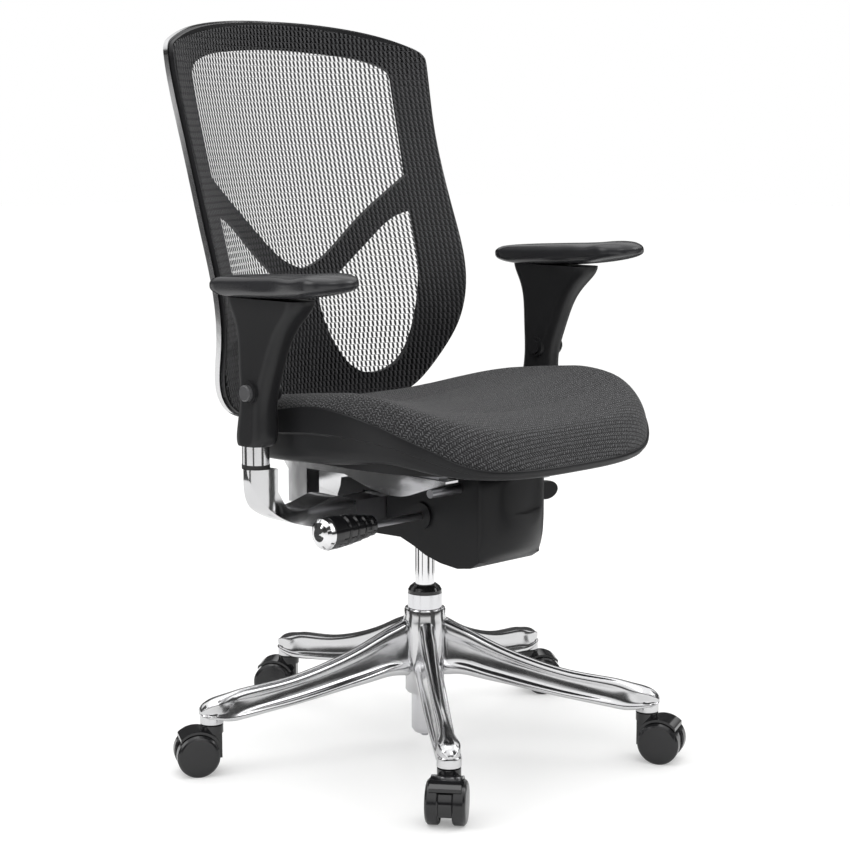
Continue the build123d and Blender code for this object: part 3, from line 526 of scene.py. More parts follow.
def in_cells(tree, distance, size):
    """A distance over the cloth in metres, counted in cells of a size in millimetres."""
    return maths(tree, "DIVIDE", maths(tree, "MULTIPLY", distance, TO_MM), size)


def from_middle(tree, cells):
    """How far a count of cells is from the middle of its own cell, -0.5 to 0.5."""
    return maths(tree, "SUBTRACT", maths(tree, "FRACT", cells), 0.5)


def ramped(tree, value, start, end):
    """A mask that runs from 0 at one value to 1 at another."""
    node = tree.nodes.new("ShaderNodeMapRange")
    node.inputs["From Min"].default_value = start
    node.inputs["From Max"].default_value = end
    tree.links.new(value, node.inputs["Value"])
    return node.outputs["Result"]


def make_mesh_weave():
    """Leaning bundles in columns, with a weft thread between the rows."""
    tree, entry, leave = group(
        "mesh_weave",
        [("Vector", "NodeSocketVector", None), ("Wide", "NodeSocketFloat", 7.4),
         ("Tall", "NodeSocketFloat", 9.0)],
        [("Thread", "NodeSocketFloat"), ("Height", "NodeSocketFloat")])
    parts = tree.nodes.new("ShaderNodeSeparateXYZ")
    tree.links.new(entry.outputs["Vector"], parts.inputs["Vector"])
    across = in_cells(tree, parts.outputs["X"], entry.outputs["Wide"])
    up = in_cells(tree, parts.outputs["Y"], entry.outputs["Tall"])
    lift = from_middle(tree, up)
    side = from_middle(tree, maths(tree, "MULTIPLY_ADD", lift, LEAN, across))
    share_wide = maths(tree, "ABSOLUTE", maths(tree, "DIVIDE", side, BUNDLE_HALF_WIDTH))
    share_tall = maths(tree, "ABSOLUTE", maths(tree, "DIVIDE", lift, BUNDLE_HALF_HEIGHT))
    reach = maths(tree, "ADD", maths(tree, "POWER", share_wide, 3.0), maths(tree, "POWER", share_tall, 4.0))
    bundle = ramped(tree, reach, start=1.2, end=0.8)
    weft = maths(tree, "GREATER_THAN", maths(tree, "ABSOLUTE", lift), WEFT_START)
    thread = maths(tree, "MAXIMUM", bundle, weft)
    height = maths(tree, "SUBTRACT", 1.0, maths(tree, "MINIMUM", reach, 1.0))
    tree.links.new(thread, leave.inputs["Thread"])
    tree.links.new(height, leave.inputs["Height"])
    return tree


mesh_weave = make_mesh_weave()
print("mesh weave:", len(mesh_weave.nodes), "nodes")

# %% Mesh cloth
SHEEN_ROUGHNESS = 0.4
DARK_THREAD, PALE_THREAD = (0.012, 0.012, 0.013), (0.075, 0.075, 0.08)


def cloth_material(name, roughness, sheen):
    """The start of a cloth: a shader and the piece's own flat-cloth map."""
    material, tree, shader = new_material(name)
    shader.inputs["Roughness"].default_value = roughness
    shader.inputs["Sheen Weight"].default_value = sheen
    shader.inputs["Sheen Roughness"].default_value = SHEEN_ROUGHNESS
    flat = tree.nodes.new("ShaderNodeUVMap")
    flat.uv_map = "cloth"
    return material, tree, shader, flat.outputs["UV"]


def blend_colour(tree, factor, low, high):
    """A colour that runs from low to high with a factor."""
    node = tree.nodes.new("ShaderNodeMix")
    node.data_type = "RGBA"
    node.inputs["A"].default_value = (*low, 1)
    node.inputs["B"].default_value = (*high, 1)
    tree.links.new(factor, node.inputs["Factor"])
    return node.outputs["Result"]


mesh_cloth, tree, shader, flat = cloth_material("mesh_cloth", roughness=0.62, sheen=0.25)
weave = group_node(tree, mesh_weave, flat)
bump_into(tree, shader, weave.outputs["Height"], strength=0.8, distance=0.0006)
fleck = noise(tree, flat, scale=900.0, detail=2.0)
tree.links.new(blend_colour(tree, fleck, DARK_THREAD, PALE_THREAD), shader.inputs["Base Color"])
tree.links.new(weave.outputs["Thread"], shader.inputs["Alpha"])
dress(back_sheet, mesh_cloth, "back", ["back_mesh"])

# %% [markdown]
# ## The seat cushion
# The cushion is a foam pad in a tight woven cover. Its crests run along both sides, the
# middle is dished, and the front rolls down like a waterfall. It starts as a sphere,
# because a sphere has rings all the way round: the upper rings become the top, the
# equator becomes the round side, and the lower rings tuck under it to a flat floor.

# %% Measures of the seat
# place along the seat, and height there of its crests, of the cover's edge and of the pan's foot
SEAT_CREST = ((-296, 456), (-287, 482), (-270, 503), (-248, 517), (-220, 530), (-185, 541),
              (-150, 547), (-100, 550), (-60, 547), (0, 541), (50, 535), (100, 527), (130, 519),
              (158, 508))
SEAT_EDGE = ((-297, 453), (-280, 457), (-268, 462), (-256, 469), (-232, 485), (-200, 500),
             (-165, 513), (-117, 524), (-48, 529), (25, 520), (100, 510), (160, 503))
PAN_FOOT = ((-297, 440), (-250, 449), (-205, 459), (-172, 463), (-130, 459), (-60, 452), (44, 447),
            (160, 445))
SEAT_HALF = 256.0
SEAT_REAR = 159.0
SEAT_FRONT = -297.0
SEAT_CENTRE_Y = -60.0
# squareness of the outline's two halves: 2 is an ellipse, and more is squarer
FRONT_SQUARENESS = 3.0
REAR_SQUARENESS = 5.2
print("the seat is", 2 * SEAT_HALF, "mm wide and", SEAT_REAR - SEAT_FRONT, "mm deep")


# %% Outline of the seat
def plan_reach(angle, inset=0.0):
    """How far the seat's outline is from its centre in a direction, in millimetres."""
    towards_front = sin(angle) < 0
    depth = SEAT_CENTRE_Y - SEAT_FRONT if towards_front else SEAT_REAR - SEAT_CENTRE_Y
    power = FRONT_SQUARENESS if towards_front else REAR_SQUARENESS
    side = abs(cos(angle)) / (SEAT_HALF - inset)
    ahead = abs(sin(angle)) / (depth - inset)
    return (side ** power + ahead ** power) ** (-1 / power)


print("its outline reaches", round(plan_reach(-pi / 4)), "mm towards a front corner")

# %% Surface of the cushion
COVER_GAP = 2.2         # between the cover and the pan's edge
COVER_FLOOR = 450.5
RIM_SINK = 1.5          # the cover's edge sits a little below the pan's
# the top rolls over at the shoulder: the share of the rings inside it, and of the reach
SHOULDER = 0.75
SHOULDER_REACH = 0.88
# under its edge the cover turns in and down over the tuck, then slopes to the floor
TUCK = 0.1
TUCK_INSET = 0.06
TUCK_DROP = 5
FLOOR_SLOPE = 0.2
# the dish between the crests: its depth and half width, and how it fades to front and rear
DISH = 31.0
DISH_HALF = 228
DISH_FRONT = -285
DISH_FRONT_FADE = 110
DISH_REAR = 175
DISH_REAR_FADE = 130
DISH_REAR_LEAST = 0.42
# near the edge the dish is never lower than a slope that rises to the rim
RIM_RISE = 6
RIM_SLOPE = 200


def shoulder_turn(edge):
    """How far round the shoulder a ring is, as an angle from 0 to a right angle."""
    return (edge - SHOULDER) / (1 - SHOULDER) * pi / 2


def ring_share(latitude):
    """How far out from the middle a ring of the cover lies: 1 at the cover's edge."""
    edge = 1 - abs(latitude)
    if latitude <= -TUCK:
        return (1 - TUCK_INSET) * (1 + latitude) / (1 - TUCK)
    if latitude < 0:
        return 1 - TUCK_INSET * (-latitude / TUCK)
    if edge < SHOULDER:
        return edge / SHOULDER * SHOULDER_REACH
    return SHOULDER_REACH + (1 - SHOULDER_REACH) * sin(shoulder_turn(edge))


def dished_top(x, y, rim, share):
    """Height of the top before it rolls over the shoulder."""
    front_fade = max(0.0, min(1.0, (y - DISH_FRONT) / DISH_FRONT_FADE))
    rear_fade = max(DISH_REAR_LEAST, min(1.0, (DISH_REAR - y) / DISH_REAR_FADE))
    dish = DISH * (front_fade * rear_fade) * (1 - min(1.0, abs(x) / DISH_HALF) ** 2)
    return max(between(y, SEAT_CREST) - dish, rim + RIM_RISE - RIM_SLOPE * (1 - share))


def seat_point(angle, latitude):
    """latitude runs from 1 at the top's middle, over 0 at the edge, to -1 underneath."""
    reach = plan_reach(angle, COVER_GAP)
    share = ring_share(latitude)
    x = reach * share * cos(angle)
    y = SEAT_CENTRE_Y + reach * share * sin(angle)
    rim = between(SEAT_CENTRE_Y + reach * sin(angle), SEAT_EDGE) - RIM_SINK
    if latitude < 0:
        tucked = rim - TUCK_DROP * min(-latitude / TUCK, 1.0)
        under = max(0.0, min(1.0, (-latitude - TUCK) / FLOOR_SLOPE))
        return Vector((x, y, tucked + (COVER_FLOOR - rim + TUCK_DROP) * under))
    top = dished_top(x, y, rim, share)
    edge = 1 - latitude
    drop = 0.0 if edge < SHOULDER else 1 - cos(shoulder_turn(edge))
    return Vector((x, y, top + (rim - top) * drop))


print("the middle of the top is at", round(seat_point(0, 1).z, 1), "mm")

# %% The cushion's mesh
SEGMENTS = 224
RINGS = 120
WAY_STEPS = 16
CUSHION_SMOOTH = 60


def cloth_place(angle, latitude):
    """Flat cloth: the way out from the middle, measured over the surface, in metres."""
    way = 0.0
    last = seat_point(angle, 1.0)
    for step in range(1, WAY_STEPS + 1):
        here = seat_point(angle, 1.0 + (latitude - 1.0) * step / WAY_STEPS)
        way += (here - last).length
        last = here
    return way * cos(angle) * MM, way * sin(angle) * MM


bpy.ops.object.select_all(action="DESELECT")
bpy.ops.mesh.primitive_uv_sphere_add(segments=SEGMENTS, ring_count=RINGS, radius=1)
cushion = bpy.context.object
cushion.name = "seat_cushion_cover"
cloth_places = []
for vertex in cushion.data.vertices:
    angle = atan2(vertex.co.y, vertex.co.x)
    latitude = atan2(vertex.co.z, hypot(vertex.co.x, vertex.co.y)) / (pi / 2)
    vertex.co = seat_point(angle, latitude) * MM
    cloth_places.append(cloth_place(angle, latitude))
lay_out(cushion, lambda vertex: cloth_places[vertex.index])
finish_mesh(cushion, CUSHION_SMOOTH)
print("cushion:", len(cushion.data.polygons), "faces")

# %% [markdown]
# ## The seat's weave
# The cover is a coarse black and grey weave whose ribs run in short slanted strokes that
# change direction from row to row. The group makes those strokes from the flat-cloth map:
# a row number picks the slant, and the stroke's roundness gives the relief.

# %% Zigzag weave group
SLANT = 0.9             # how far a stroke leans over its row
STROKE_SHARPNESS = 2.4
END_SHARPNESS = 2.1


def make_zigzag_weave():
    """Rows of slanted strokes, with the slant turned over in every other row."""
    tree, entry, leave = group(
        "zigzag_weave",
        [("Vector", "NodeSocketVector", None), ("Stroke", "NodeSocketFloat", 4.2),
         ("Row", "NodeSocketFloat", 5.2)],
        [("Stroke Mask", "NodeSocketFloat"), ("Height", "NodeSocketFloat")])
    parts = tree.nodes.new("ShaderNodeSeparateXYZ")
    tree.links.new(entry.outputs["Vector"], parts.inputs["Vector"])
    across = in_cells(tree, parts.outputs["X"], entry.outputs["Stroke"])
    along = in_cells(tree, parts.outputs["Y"], entry.outputs["Row"])
    row = maths(tree, "FLOOR", along)
    place = from_middle(tree, along)
    turn = maths(tree, "MULTIPLY_ADD", maths(tree, "PINGPONG", row, 1.0), 2.0, -1.0)
    lean = maths(tree, "MULTIPLY", maths(tree, "MULTIPLY", place, turn), SLANT)
    side = maths(tree, "ABSOLUTE", from_middle(tree, maths(tree, "ADD", across, lean)))
    end = maths(tree, "ABSOLUTE", place)
    fall_side = maths(tree, "POWER", maths(tree, "MULTIPLY", side, STROKE_SHARPNESS), 2.0)
    fall_end = maths(tree, "POWER", maths(tree, "MULTIPLY", end, END_SHARPNESS), 4.0)
    round_side = maths(tree, "SUBTRACT", 1.0, fall_side)
    round_end = maths(tree, "SUBTRACT", 1.0, fall_end)
    height = maths(tree, "MAXIMUM", maths(tree, "MULTIPLY", round_side, round_end), 0.0)
    tree.links.new(height, leave.inputs["Height"])
    tree.links.new(ramped(tree, height, start=0.25, end=0.75), leave.inputs["Stroke Mask"])
    return tree


zigzag_weave = make_zigzag_weave()
print("zigzag weave:", len(zigzag_weave.nodes), "nodes")

# %% Seat cloth
# each stroke's tone is a noise that is stretched, shifted and kept above a least value
TONE_STRETCH = 4.6
TONE_SHIFT = -1.75
TONE_LEAST = 0.08
GROUND, STROKE_GREY = (0.006, 0.006, 0.007), (0.115, 0.115, 0.12)
seat_cover, tree, shader, flat = cloth_material("seat_cover", roughness=0.80, sheen=0.12)
weave = group_node(tree, zigzag_weave, flat)
bump_into(tree, shader, weave.outputs["Height"], strength=1.0, distance=0.0012)
patches = noise(tree, flat, scale=300.0, detail=4.0)
stretched = maths(tree, "MULTIPLY_ADD", patches, TONE_STRETCH, TONE_SHIFT)
tone = maths(tree, "MAXIMUM", stretched, TONE_LEAST)
stroke = maths(tree, "MULTIPLY", weave.outputs["Stroke Mask"], tone)
tree.links.new(blend_colour(tree, stroke, GROUND, STROKE_GREY), shader.inputs["Base Color"])
dress(cushion, seat_cover, "seat", ["seat_cushion"])

# %% [markdown]
# ## The seat pan
# The pan is one black moulding: a thin rolled edge that frames the cover, a deep wall at
# the sides with a step line along it, and a shallow lip at the front. It is a loft of the
# seat's own outline, so the cushion and the pan always agree: up the inside of the wall,
# over the rolled edge, down the outside by way of the step line, and in under the floor.

# %% Outlines of the pan
# each ring's inset from the outline, its share of the way down the wall, and its lift
PAN_RINGS = ((18.0, 0.0, -9.0), (5.0, 0.0, -6.0), (3.2, 0.0, -1.2), (2.4, 0.0, 0.0), (1.2, 0.0, 0.4),
             (0.3, 0.0, -0.4), (0.0, 0.0, -2.0), (0.3, 0.20, -1.0), (1.2, 0.40, 0.0), (1.6, 0.45, 0.0),
             (3.4, 0.47, 0.0), (3.8, 0.50, 0.0), (4.6, 0.70, 0.0), (6.5, 0.88, 0.0), (9.0, 0.96, 0.0),
             (13.0, 1.0, 0.0), (26.0, 1.0, 0.0))
PAN_FLOOR = 447.0
PAN_POINTS = 160
PAN_STEP = 2            # between the floor's two faces
INNER_WALL = (21.0, 0.0, -9.0)
INNER_WALL_DROP = 5
INNER_FLOOR_SHARE = 0.8
OUTER_FLOOR_SHARE = 0.72
PAN_SMOOTH = 40


def pan_ring(inset, share, lift):
    """One outline of the pan: share runs from 0 at the cover's edge to 1 at the foot."""
    ring = []
    for i in range(PAN_POINTS):
        angle = 2 * pi * i / PAN_POINTS
        reach = plan_reach(angle, inset)
        y_edge = SEAT_CENTRE_Y + plan_reach(angle) * sin(angle)
        edge = between(y_edge, SEAT_EDGE)
        foot = between(y_edge, PAN_FOOT)
        ring.append((reach * cos(angle), SEAT_CENTRE_Y + reach * sin(angle),
                     edge + (foot - edge) * share + lift))
    return ring


def shrunk(ring, share, height):
    """The same outline drawn in towards the middle, on one level."""
    return [(x * share, SEAT_CENTRE_Y + (y - SEAT_CENTRE_Y) * share, height) for x, y, z in ring]


print("the pan's wall has", len(PAN_RINGS), "outlines of", PAN_POINTS, "points")

# %% The pan's mesh
inner_floor = PAN_FLOOR + PAN_STEP
inner_wall = [(x, y, min(z - INNER_WALL_DROP, inner_floor)) for x, y, z in pan_ring(*INNER_WALL)]
pan_rings = [shrunk(inner_wall, INNER_FLOOR_SHARE, inner_floor), inner_wall]
pan_rings += [pan_ring(*ring) for ring in PAN_RINGS]
pan_rings.append(shrunk(pan_rings[-1], OUTER_FLOOR_SHARE, PAN_FLOOR))
pan = ring_loft("moulded_seat_pan", pan_rings, angle=PAN_SMOOTH)
dress(pan, cover_plastic, "seat", ["seat_pan"])

# %% [markdown]
# ## The cast base
# Five legs run out from the hub of one polished casting. Each leg has a rounded ridge on
# top, a panel sunk into each side and a bright flange along the foot. One leg is lofted
# from the hub to a rounded finger over its caster boss and smoothed, then copied round the
# column. The hub is turned, and its bore stays open for the gas lift.

# %% Stations along a leg
# distance, ridge height, foot height, half width at the foot, at the ridge, depth of the panel
LEG_STATIONS = (
    (26.5, 195, 110, 20.0, 12.0, 0.0),
    (36, 190, 110, 20.5, 11.5, 2.0),
    (50, 184, 112, 20.5, 11.0, 4.0),
    (65, 178, 112, 20.0, 10.5, 4.5),
    (92, 164, 106, 20.0, 10.0, 4.5),
    (120, 152, 102, 19.5, 9.5, 4.5),
    (153, 140, 95.5, 19.0, 9.0, 4.5),
    (205, 125, 86, 18.0, 8.5, 4.0),
    (245, 120, 80, 17.0, 8.5, 3.6),
    (270, 117.5, 76, 16.5, 8.8, 3.0),
    (285, 115.5, 73.5, 16.0, 9.0, 1.5),
    (296, 113, 72, 16.0, 9.5, 0.0),
    (308, 110.5, 73, 16.5, 12.0, 0.0),
    (320, 108.5, 76, 17.4, 14.5, 0.0),
    (331, 105.0, 79, 17.0, 14.0, 0.0),
    (339, 99.5, 81, 13.5, 11.0, 0.0),
    (343, 93.0, 83, 8.5, 6.5, 0.0),
    (344, 89.0, 86, 3.0, 2.5, 0.0),
)
print("a leg has", len(LEG_STATIONS), "stations over", LEG_STATIONS[-1][0] - LEG_STATIONS[0][0], "mm")

# %% One leg
LEG_SMOOTH = 50


def leg_ring(distance, top, foot, half, ridge, panel):
    """One ring of a leg, from the middle of its foot round to the ridge and back."""
    height = top - foot
    right = [
        (half * 0.55, foot),
        (half * 0.93, foot + 1.0),
        (half, foot + 0.08 * height),
        (half - 0.3, foot + 0.19 * height),
        (half - 1.5 - panel * 0.55, foot + 0.25 * height),
        (half - 2.4 - panel, foot + 0.30 * height),
        (ridge + 1.2 - panel * 0.35, foot + 0.66 * height),
        (ridge + 1.0 - panel * 0.12, foot + 0.72 * height),
        (ridge + 0.6, foot + 0.78 * height),
        (ridge * 0.93, top - 0.62 * ridge * 0.8),
        (ridge * 0.55, top - 0.16 * ridge),
    ]
    ring = [(distance, x, z) for x, z in right] + [(distance, 0, top)]
    return ring + [(distance, -x, z) for x, z in reversed(right)] + [(distance, 0, foot)]


leg = ring_loft("leg", [leg_ring(*station) for station in LEG_STATIONS], levels=2, angle=LEG_SMOOTH)
print("one leg:", len(leg.data.polygons), "faces")

# %% Boss and arms
LEGS = 5
FIRST_LEG = -129.3      # degrees round the column
BOSS_REACH = 0.326      # metres from the column to a caster's stem
boss_profile = ((6, 70.2), (15.0, 70.2), (16.4, 71.6), (16.4, 84), (15.6, 87), (12, 89), (6, 90),
                (0.4, 90))
boss = turned("boss", boss_profile, sides=48)
boss.data.transform(Matrix.Translation((BOSS_REACH, 0, 0)))
arm = join("arm", [leg, boss])
arms = []
for index in range(LEGS):
    turn = radians(FIRST_LEG + 360 / LEGS * index)
    arms.append(copy_of(arm, f"arm_{index}", Matrix.Rotation(turn, 4, "Z")))
bpy.data.objects.remove(arm)
print("arms:", [piece.name for piece in arms])


# %% Hub and the whole casting
def open_bore(obj):
    """Take out the two round end faces of a turned tube, and weld its profile shut."""
    mesh = bmesh.new()
    mesh.from_mesh(obj.data)
    ends = [face for face in mesh.faces if len(face.verts) > 4]
    bmesh.ops.delete(mesh, geom=ends, context="FACES_ONLY")
    mesh.to_mesh(obj.data)
    mesh.free()
    finish_mesh(obj)


hub_profile = ((25.1, 150), (25.1, 82), (26, 81), (28.3, 84.5), (28.5, 108), (29, 112), (31.5, 118),
               (32.5, 130), (32.5, 176), (31.5, 188), (30, 196), (30, 204), (29.2, 206), (26.5, 206.3),
               (25.1, 205.5), (25.1, 150))
hub = turned("hub", hub_profile, sides=96)
open_bore(hub)
cast_base = join("cast_base", [hub] + arms)
dress(cast_base, polished_aluminium, "base", ["base_star"])

# %% [markdown]
# ## Front cover
# The mechanism's front cover is a blunt box with soft corners. It is lofted forward from
# the split with the rear cover: the first outline is nearly square to meet it, and on each
# one further on the foot is higher and the corners are rounder.

# %% Front cover
# place along the seat, half width, height of the foot and squareness of the outline
NOSE_RINGS = ((-166.2, 62.9, 304.5, 24), (-168, 62.9, 305.5, 20), (-176, 62.6, 310, 14),
              (-184, 61.8, 315.5, 11), (-190, 60.4, 322, 9), (-195, 58.0, 331, 7.5),
              (-199, 54.0, 343, 6), (-201.5, 48.0, 356, 5), (-202.6, 38.0, 372, 4.2))
NOSE_TOP = 424.0
NOSE_HALF = 63.0
NOSE_SPLIT = -166.0
NOSE_POINTS = 72
NOSE_BOW = 0.7          # how much the front falls back towards its sides
NOSE_SMOOTH = 50


def nose_ring(place, half, foot, power):
    """A soft-cornered upright outline."""
    middle, tall = (NOSE_TOP + foot) / 2, (NOSE_TOP - foot) / 2
    ring = []
    for i in range(NOSE_POINTS):
        turn = 2 * pi * i / NOSE_POINTS
        reach = (abs(cos(turn)) ** power + abs(sin(turn)) ** power) ** (-1 / power)
        x = half * reach * cos(turn)
        bow = 1 - NOSE_BOW * (x / NOSE_HALF) ** 2
        ring.append((x, NOSE_SPLIT + (place - NOSE_SPLIT) * bow, middle + tall * reach * sin(turn)))
    return ring


nose = ring_loft("front_cover_shell", [nose_ring(*ring) for ring in NOSE_RINGS], angle=NOSE_SMOOTH)
dress(nose, cover_plastic, "mechanism", ["mechanism_front_cover"])

# %% [markdown]
# ## Arm pads
# Each pad is one sculpted skin: thick and round at the rear, hollowed along the top, with a
# waist and a spoon-like lobe at the front, whose underside lifts. It starts as a sphere
# again, and the plan is the hull of a small rear circle and a wider front one.

# %% Measures of a pad
PAD_REAR = 115.0
PAD_FRONT = -154.0
PAD_REAR_R = 33.0
PAD_FRONT_R = 42.0
PAD_MIDDLE_Z = 18.0
PAD_RISE = 17.5
PAD_FALL = 19.0
PAD_ROUNDNESS = 2 / 2.7
PAD_LENGTH = PAD_REAR - PAD_FRONT
# swells along the pad: size, place from the front (0) to the rear (1), and spread
PAD_WAIST = (0.11, 0.40, 0.13)
PAD_SIDE_DIP = (6.0, 0.27, 0.10)
PAD_NOSE = (3.0, 0.10, 0.14)
# the hollow in the top, which is shallower at the front lobe
PAD_HOLLOW = 5.0
PAD_HOLLOW_WIDTH = 0.9
PAD_HOLLOW_FADE = 0.5
# the front lobe: its share of the length, and how much its underside lifts
PAD_LOBE = 0.42
PAD_LOBE_LIFT = 0.22
PAD_END_SHARPNESS = 40
print("a pad is", PAD_LENGTH, "mm long and", 2 * PAD_FRONT_R, "mm wide at the front")


# %% Skin of a pad
def pad_half_width(y):
    """Half the pad's width at a place along it."""
    rear_y, front_y = PAD_REAR - PAD_REAR_R, PAD_FRONT + PAD_FRONT_R
    if y > rear_y:
        return max(0.0, PAD_REAR_R ** 2 - (y - rear_y) ** 2) ** 0.5
    if y < front_y:
        return max(0.0, PAD_FRONT_R ** 2 - (y - front_y) ** 2) ** 0.5
    share = (y - front_y) / (rear_y - front_y)
    return PAD_FRONT_R + (PAD_REAR_R - PAD_FRONT_R) * share


def swell(along, size, middle, spread):
    """A smooth bump of a size along the pad."""
    return size * exp(-((along - middle) / spread) ** 2)


def pad_point(direction, latitude):
    """A point of the pad's skin in the pad's own frame, with z up from the sleeve."""
    share = max(0.0, cos(latitude)) ** PAD_ROUNDNESS
    lift = abs(sin(latitude)) ** PAD_ROUNDNESS
    middle = (PAD_REAR + PAD_FRONT) / 2
    y_edge = middle + PAD_LENGTH / 2 * sin(direction)
    y = middle + PAD_LENGTH / 2 * share * sin(direction)
    along = (y - PAD_FRONT) / PAD_LENGTH
    width = pad_half_width(y_edge) * share * (1 - swell(along, *PAD_WAIST))
    side = 1 if cos(direction) > 0 else -1
    x = width * side * min(1.0, abs(cos(direction)) * PAD_END_SHARPNESS)
    front = max(0.0, 1 - along / PAD_LOBE)
    if latitude < 0:
        return Vector((x, y, PAD_MIDDLE_Z - PAD_FALL * lift * (1 - PAD_LOBE_LIFT * front ** 1.5)))
    hollow = PAD_HOLLOW * (1 - min(1.0, share / PAD_HOLLOW_WIDTH) ** 2) * (1 - PAD_HOLLOW_FADE * front)
    side_dip = swell(along, *PAD_SIDE_DIP) * share ** 3
    top = PAD_MIDDLE_Z + (PAD_RISE + swell(along, *PAD_NOSE)) * lift
    return Vector((x, y, top - hollow - side_dip * lift))


print("the middle of a pad's top is", round(pad_point(0, pi / 2).z, 1), "mm up")

# %% Both pads
PAD_SPOT = (-285, 0, 673)       # on top of the right arm's sleeve
PAD_TOE_IN = -1.8
PAD_PITCH = -2.8
PAD_SEGMENTS = 128
PAD_RING_COUNT = 64
PAD_SMOOTH = 80
ARM_NOTCH = 0.020               # the left arm rests one notch higher, in metres


def pad_place():
    """The pad's place: pitch, then toe-in, on top of the sleeve of the right arm."""
    spot = Matrix.Translation(Vector(PAD_SPOT) * MM)
    toe_in = Matrix.Rotation(radians(PAD_TOE_IN), 4, "Z")
    return spot @ toe_in @ Matrix.Rotation(radians(PAD_PITCH), 4, "X")


bpy.ops.object.select_all(action="DESELECT")
bpy.ops.mesh.primitive_uv_sphere_add(segments=PAD_SEGMENTS, ring_count=PAD_RING_COUNT, radius=1)
arm_pad = bpy.context.object
arm_pad.name = "sculpted_arm_pad_right"
for vertex in arm_pad.data.vertices:
    latitude = atan2(vertex.co.z, hypot(vertex.co.x, vertex.co.y))
    vertex.co = pad_point(atan2(vertex.co.y, vertex.co.x), latitude) * MM
arm_pad.data.transform(pad_place())
finish_mesh(arm_pad, PAD_SMOOTH)
mirror_x = Matrix.Scale(-1, 4, (1, 0, 0))
raised = Matrix.Translation((0, 0, ARM_NOTCH))
arm_pad_left = copy_of(arm_pad, "sculpted_arm_pad_left", raised @ mirror_x)
for piece, side in ((arm_pad, "right"), (arm_pad_left, "left")):
    dress(piece, pad_skin, f"arm_{side}", [f"arm_pad_{side}", f"arm_pad_base_{side}"])

# %% [markdown]
# ## Studio floor
# The floor is plain and pale. It glows a little, so that it stays close to white out to the
# horizon, and a Light Path node takes the glow away from reflections: polished metal then
# shows a floor that is darker than the light above it.

# %% Floor
FLOOR_SIZE = 40
FLOOR_GLOW = 0.28
bpy.ops.object.select_all(action="DESELECT")
bpy.ops.mesh.primitive_plane_add(size=FLOOR_SIZE)
floor = bpy.context.object
floor.name = "studio_floor"
floor_paint, tree, shader = new_material("floor_paint")
shader.inputs["Base Color"].default_value = (0.74, 0.74, 0.737, 1)
shader.inputs["Roughness"].default_value = 0.9
shader.inputs["Specular IOR Level"].default_value = 0.0
shader.inputs["Emission Color"].default_value = (1, 1, 0.995, 1)
light_path = tree.nodes.new("ShaderNodeLightPath")
glow = maths(tree, "MULTIPLY_ADD", light_path.outputs["Is Glossy Ray"], -FLOOR_GLOW, FLOOR_GLOW)
tree.links.new(glow, shader.inputs["Emission Strength"])
floor.data.materials.append(floor_paint)
print("floor:", floor.dimensions[:2])

# %% [markdown]
# ## Flags
# Polished metal has no colour of its own and shows what stands round it. A product studio
# sets black flags there, which give chrome its dark lines. Here they are upright planes in
# a ring about the chair, and only reflections see them.

# %% Black flags
# azimuth from the camera's side, and width, in degrees
FLAGS = ((44, 26), (108, 22), (150, 30), (-30, 10), (-84, 22), (-142, 44))
FLAG_RADIUS = 1.15
FLAG_HEIGHT = 1.1
FLAG_GREY = (0.05, 0.05, 0.05, 1)
CAMERA_SIDE = -134.9
flag_black, tree, shader = new_material("flag_black")
shader.inputs["Base Color"].default_value = FLAG_GREY
shader.inputs["Roughness"].default_value = 1.0
for index, (side, width) in enumerate(FLAGS):
    turn = radians(CAMERA_SIDE + side)
    across = 2 * FLAG_RADIUS * sin(radians(width / 2))
    bpy.ops.object.select_all(action="DESELECT")
    bpy.ops.mesh.primitive_plane_add(size=1)
    flag = bpy.context.object
    flag.name = f"flag_{index + 1}"
    spot = Matrix.Translation((FLAG_RADIUS * cos(turn), FLAG_RADIUS * sin(turn), FLAG_HEIGHT / 2))
    upright = Matrix.Rotation(turn, 4, "Z") @ Matrix.Rotation(pi / 2, 4, "Y")
    flag.data.transform(spot @ upright @ Matrix.Diagonal((FLAG_HEIGHT, across, 1, 1)))
    flag.data.materials.append(flag_black)
    flag.visible_camera = False
    flag.visible_diffuse = False
    flag.visible_shadow = False
print("flags:", len(FLAGS))

# %% [markdown]
# ## Backdrop and lights
# The camera sees plain white behind the chair, and everything else sees a world that is dark
# near the horizon and bright above. One wide soft light hangs overhead, one stands on each
# side, and a weaker one fills from the front.

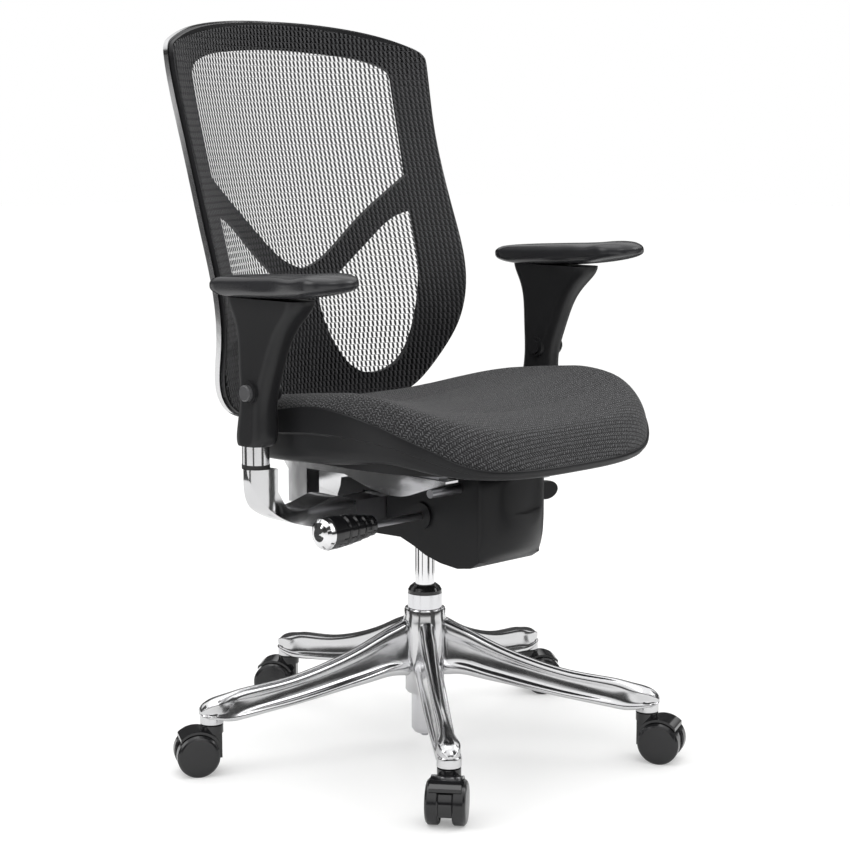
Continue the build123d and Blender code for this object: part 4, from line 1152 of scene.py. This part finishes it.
# %% World
# height in the world, from the horizon (0) to straight up (1), and how bright it is there
BANDS = ((0.00, 0.30), (0.03, 0.05), (0.22, 0.03), (0.30, 0.75), (0.55, 1.05), (1.00, 1.20))
world = bpy.data.worlds.new("studio")
bpy.context.scene.world = world
world.use_nodes = True
tree = world.node_tree
backdrop = tree.nodes["Background"]
sky = tree.nodes.new("ShaderNodeTexCoord")
parts = tree.nodes.new("ShaderNodeSeparateXYZ")
tree.links.new(sky.outputs["Generated"], parts.inputs["Vector"])
ramp = tree.nodes.new("ShaderNodeValToRGB")
tree.links.new(parts.outputs["Z"], ramp.inputs["Fac"])
stops = ramp.color_ramp.elements
for index, (place, grey) in enumerate(BANDS):
    stop = stops[index] if index < 2 else stops.new(place)
    stop.position = place
    stop.color = (grey, grey, grey, 1)
path = tree.nodes.new("ShaderNodeLightPath")
choose = tree.nodes.new("ShaderNodeMix")
choose.data_type = "RGBA"
choose.inputs["B"].default_value = (1, 1, 1, 1)
tree.links.new(path.outputs["Is Camera Ray"], choose.inputs["Factor"])
tree.links.new(ramp.outputs["Color"], choose.inputs["A"])
tree.links.new(choose.outputs["Result"], backdrop.inputs["Color"])
print("bands in the world:", len(stops))


# %% Lights
def soft_light(name, place, target, size, power):
    """A square area light that faces a point."""
    bpy.ops.object.light_add(type="AREA", location=place)
    lamp = bpy.context.object
    lamp.name = name
    lamp.data.size = size
    lamp.data.energy = power
    lamp.rotation_euler = (Vector(target) - Vector(place)).to_track_quat("-Z", "Y").to_euler()
    print(f"{name}: {power} W")


soft_light("top_light", (-0.3, 0.3, 3.2), (0, 0, 0.4), size=2.6, power=26)
soft_light("left_light", (-2.6, 0.9, 1.9), (0, 0, 0.6), size=1.6, power=16)
soft_light("right_light", (2.4, -1.6, 2.2), (0, 0, 0.5), size=1.6, power=16)
soft_light("front_light", (-1.2, -3.2, 2.6), (0, 0, 0.5), size=1.6, power=12)

# %% [markdown]
# ## Camera
# The camera stands in front of the chair's right arm, a little above the seat, and looks
# slightly down. A long lens from far off keeps the legs and arms in true proportion.

# %% Camera
CAMERA_PLACE = (-1.9933, -2.0027, 0.8843)
CAMERA_TILT = 90 - 8.262
CAMERA_TURN = -44.869
CAMERA_LENS = 84.04
CAMERA_SENSOR = 36.0
bpy.ops.object.camera_add(location=CAMERA_PLACE, rotation=(radians(CAMERA_TILT), 0, radians(CAMERA_TURN)))
camera = bpy.context.object
camera.data.lens = CAMERA_LENS
camera.data.sensor_width = CAMERA_SENSOR
bpy.context.scene.camera = camera
bpy.context.scene.view_settings.view_transform = "Standard"
print("camera at", CAMERA_PLACE, "with a lens of", CAMERA_LENS, "mm")
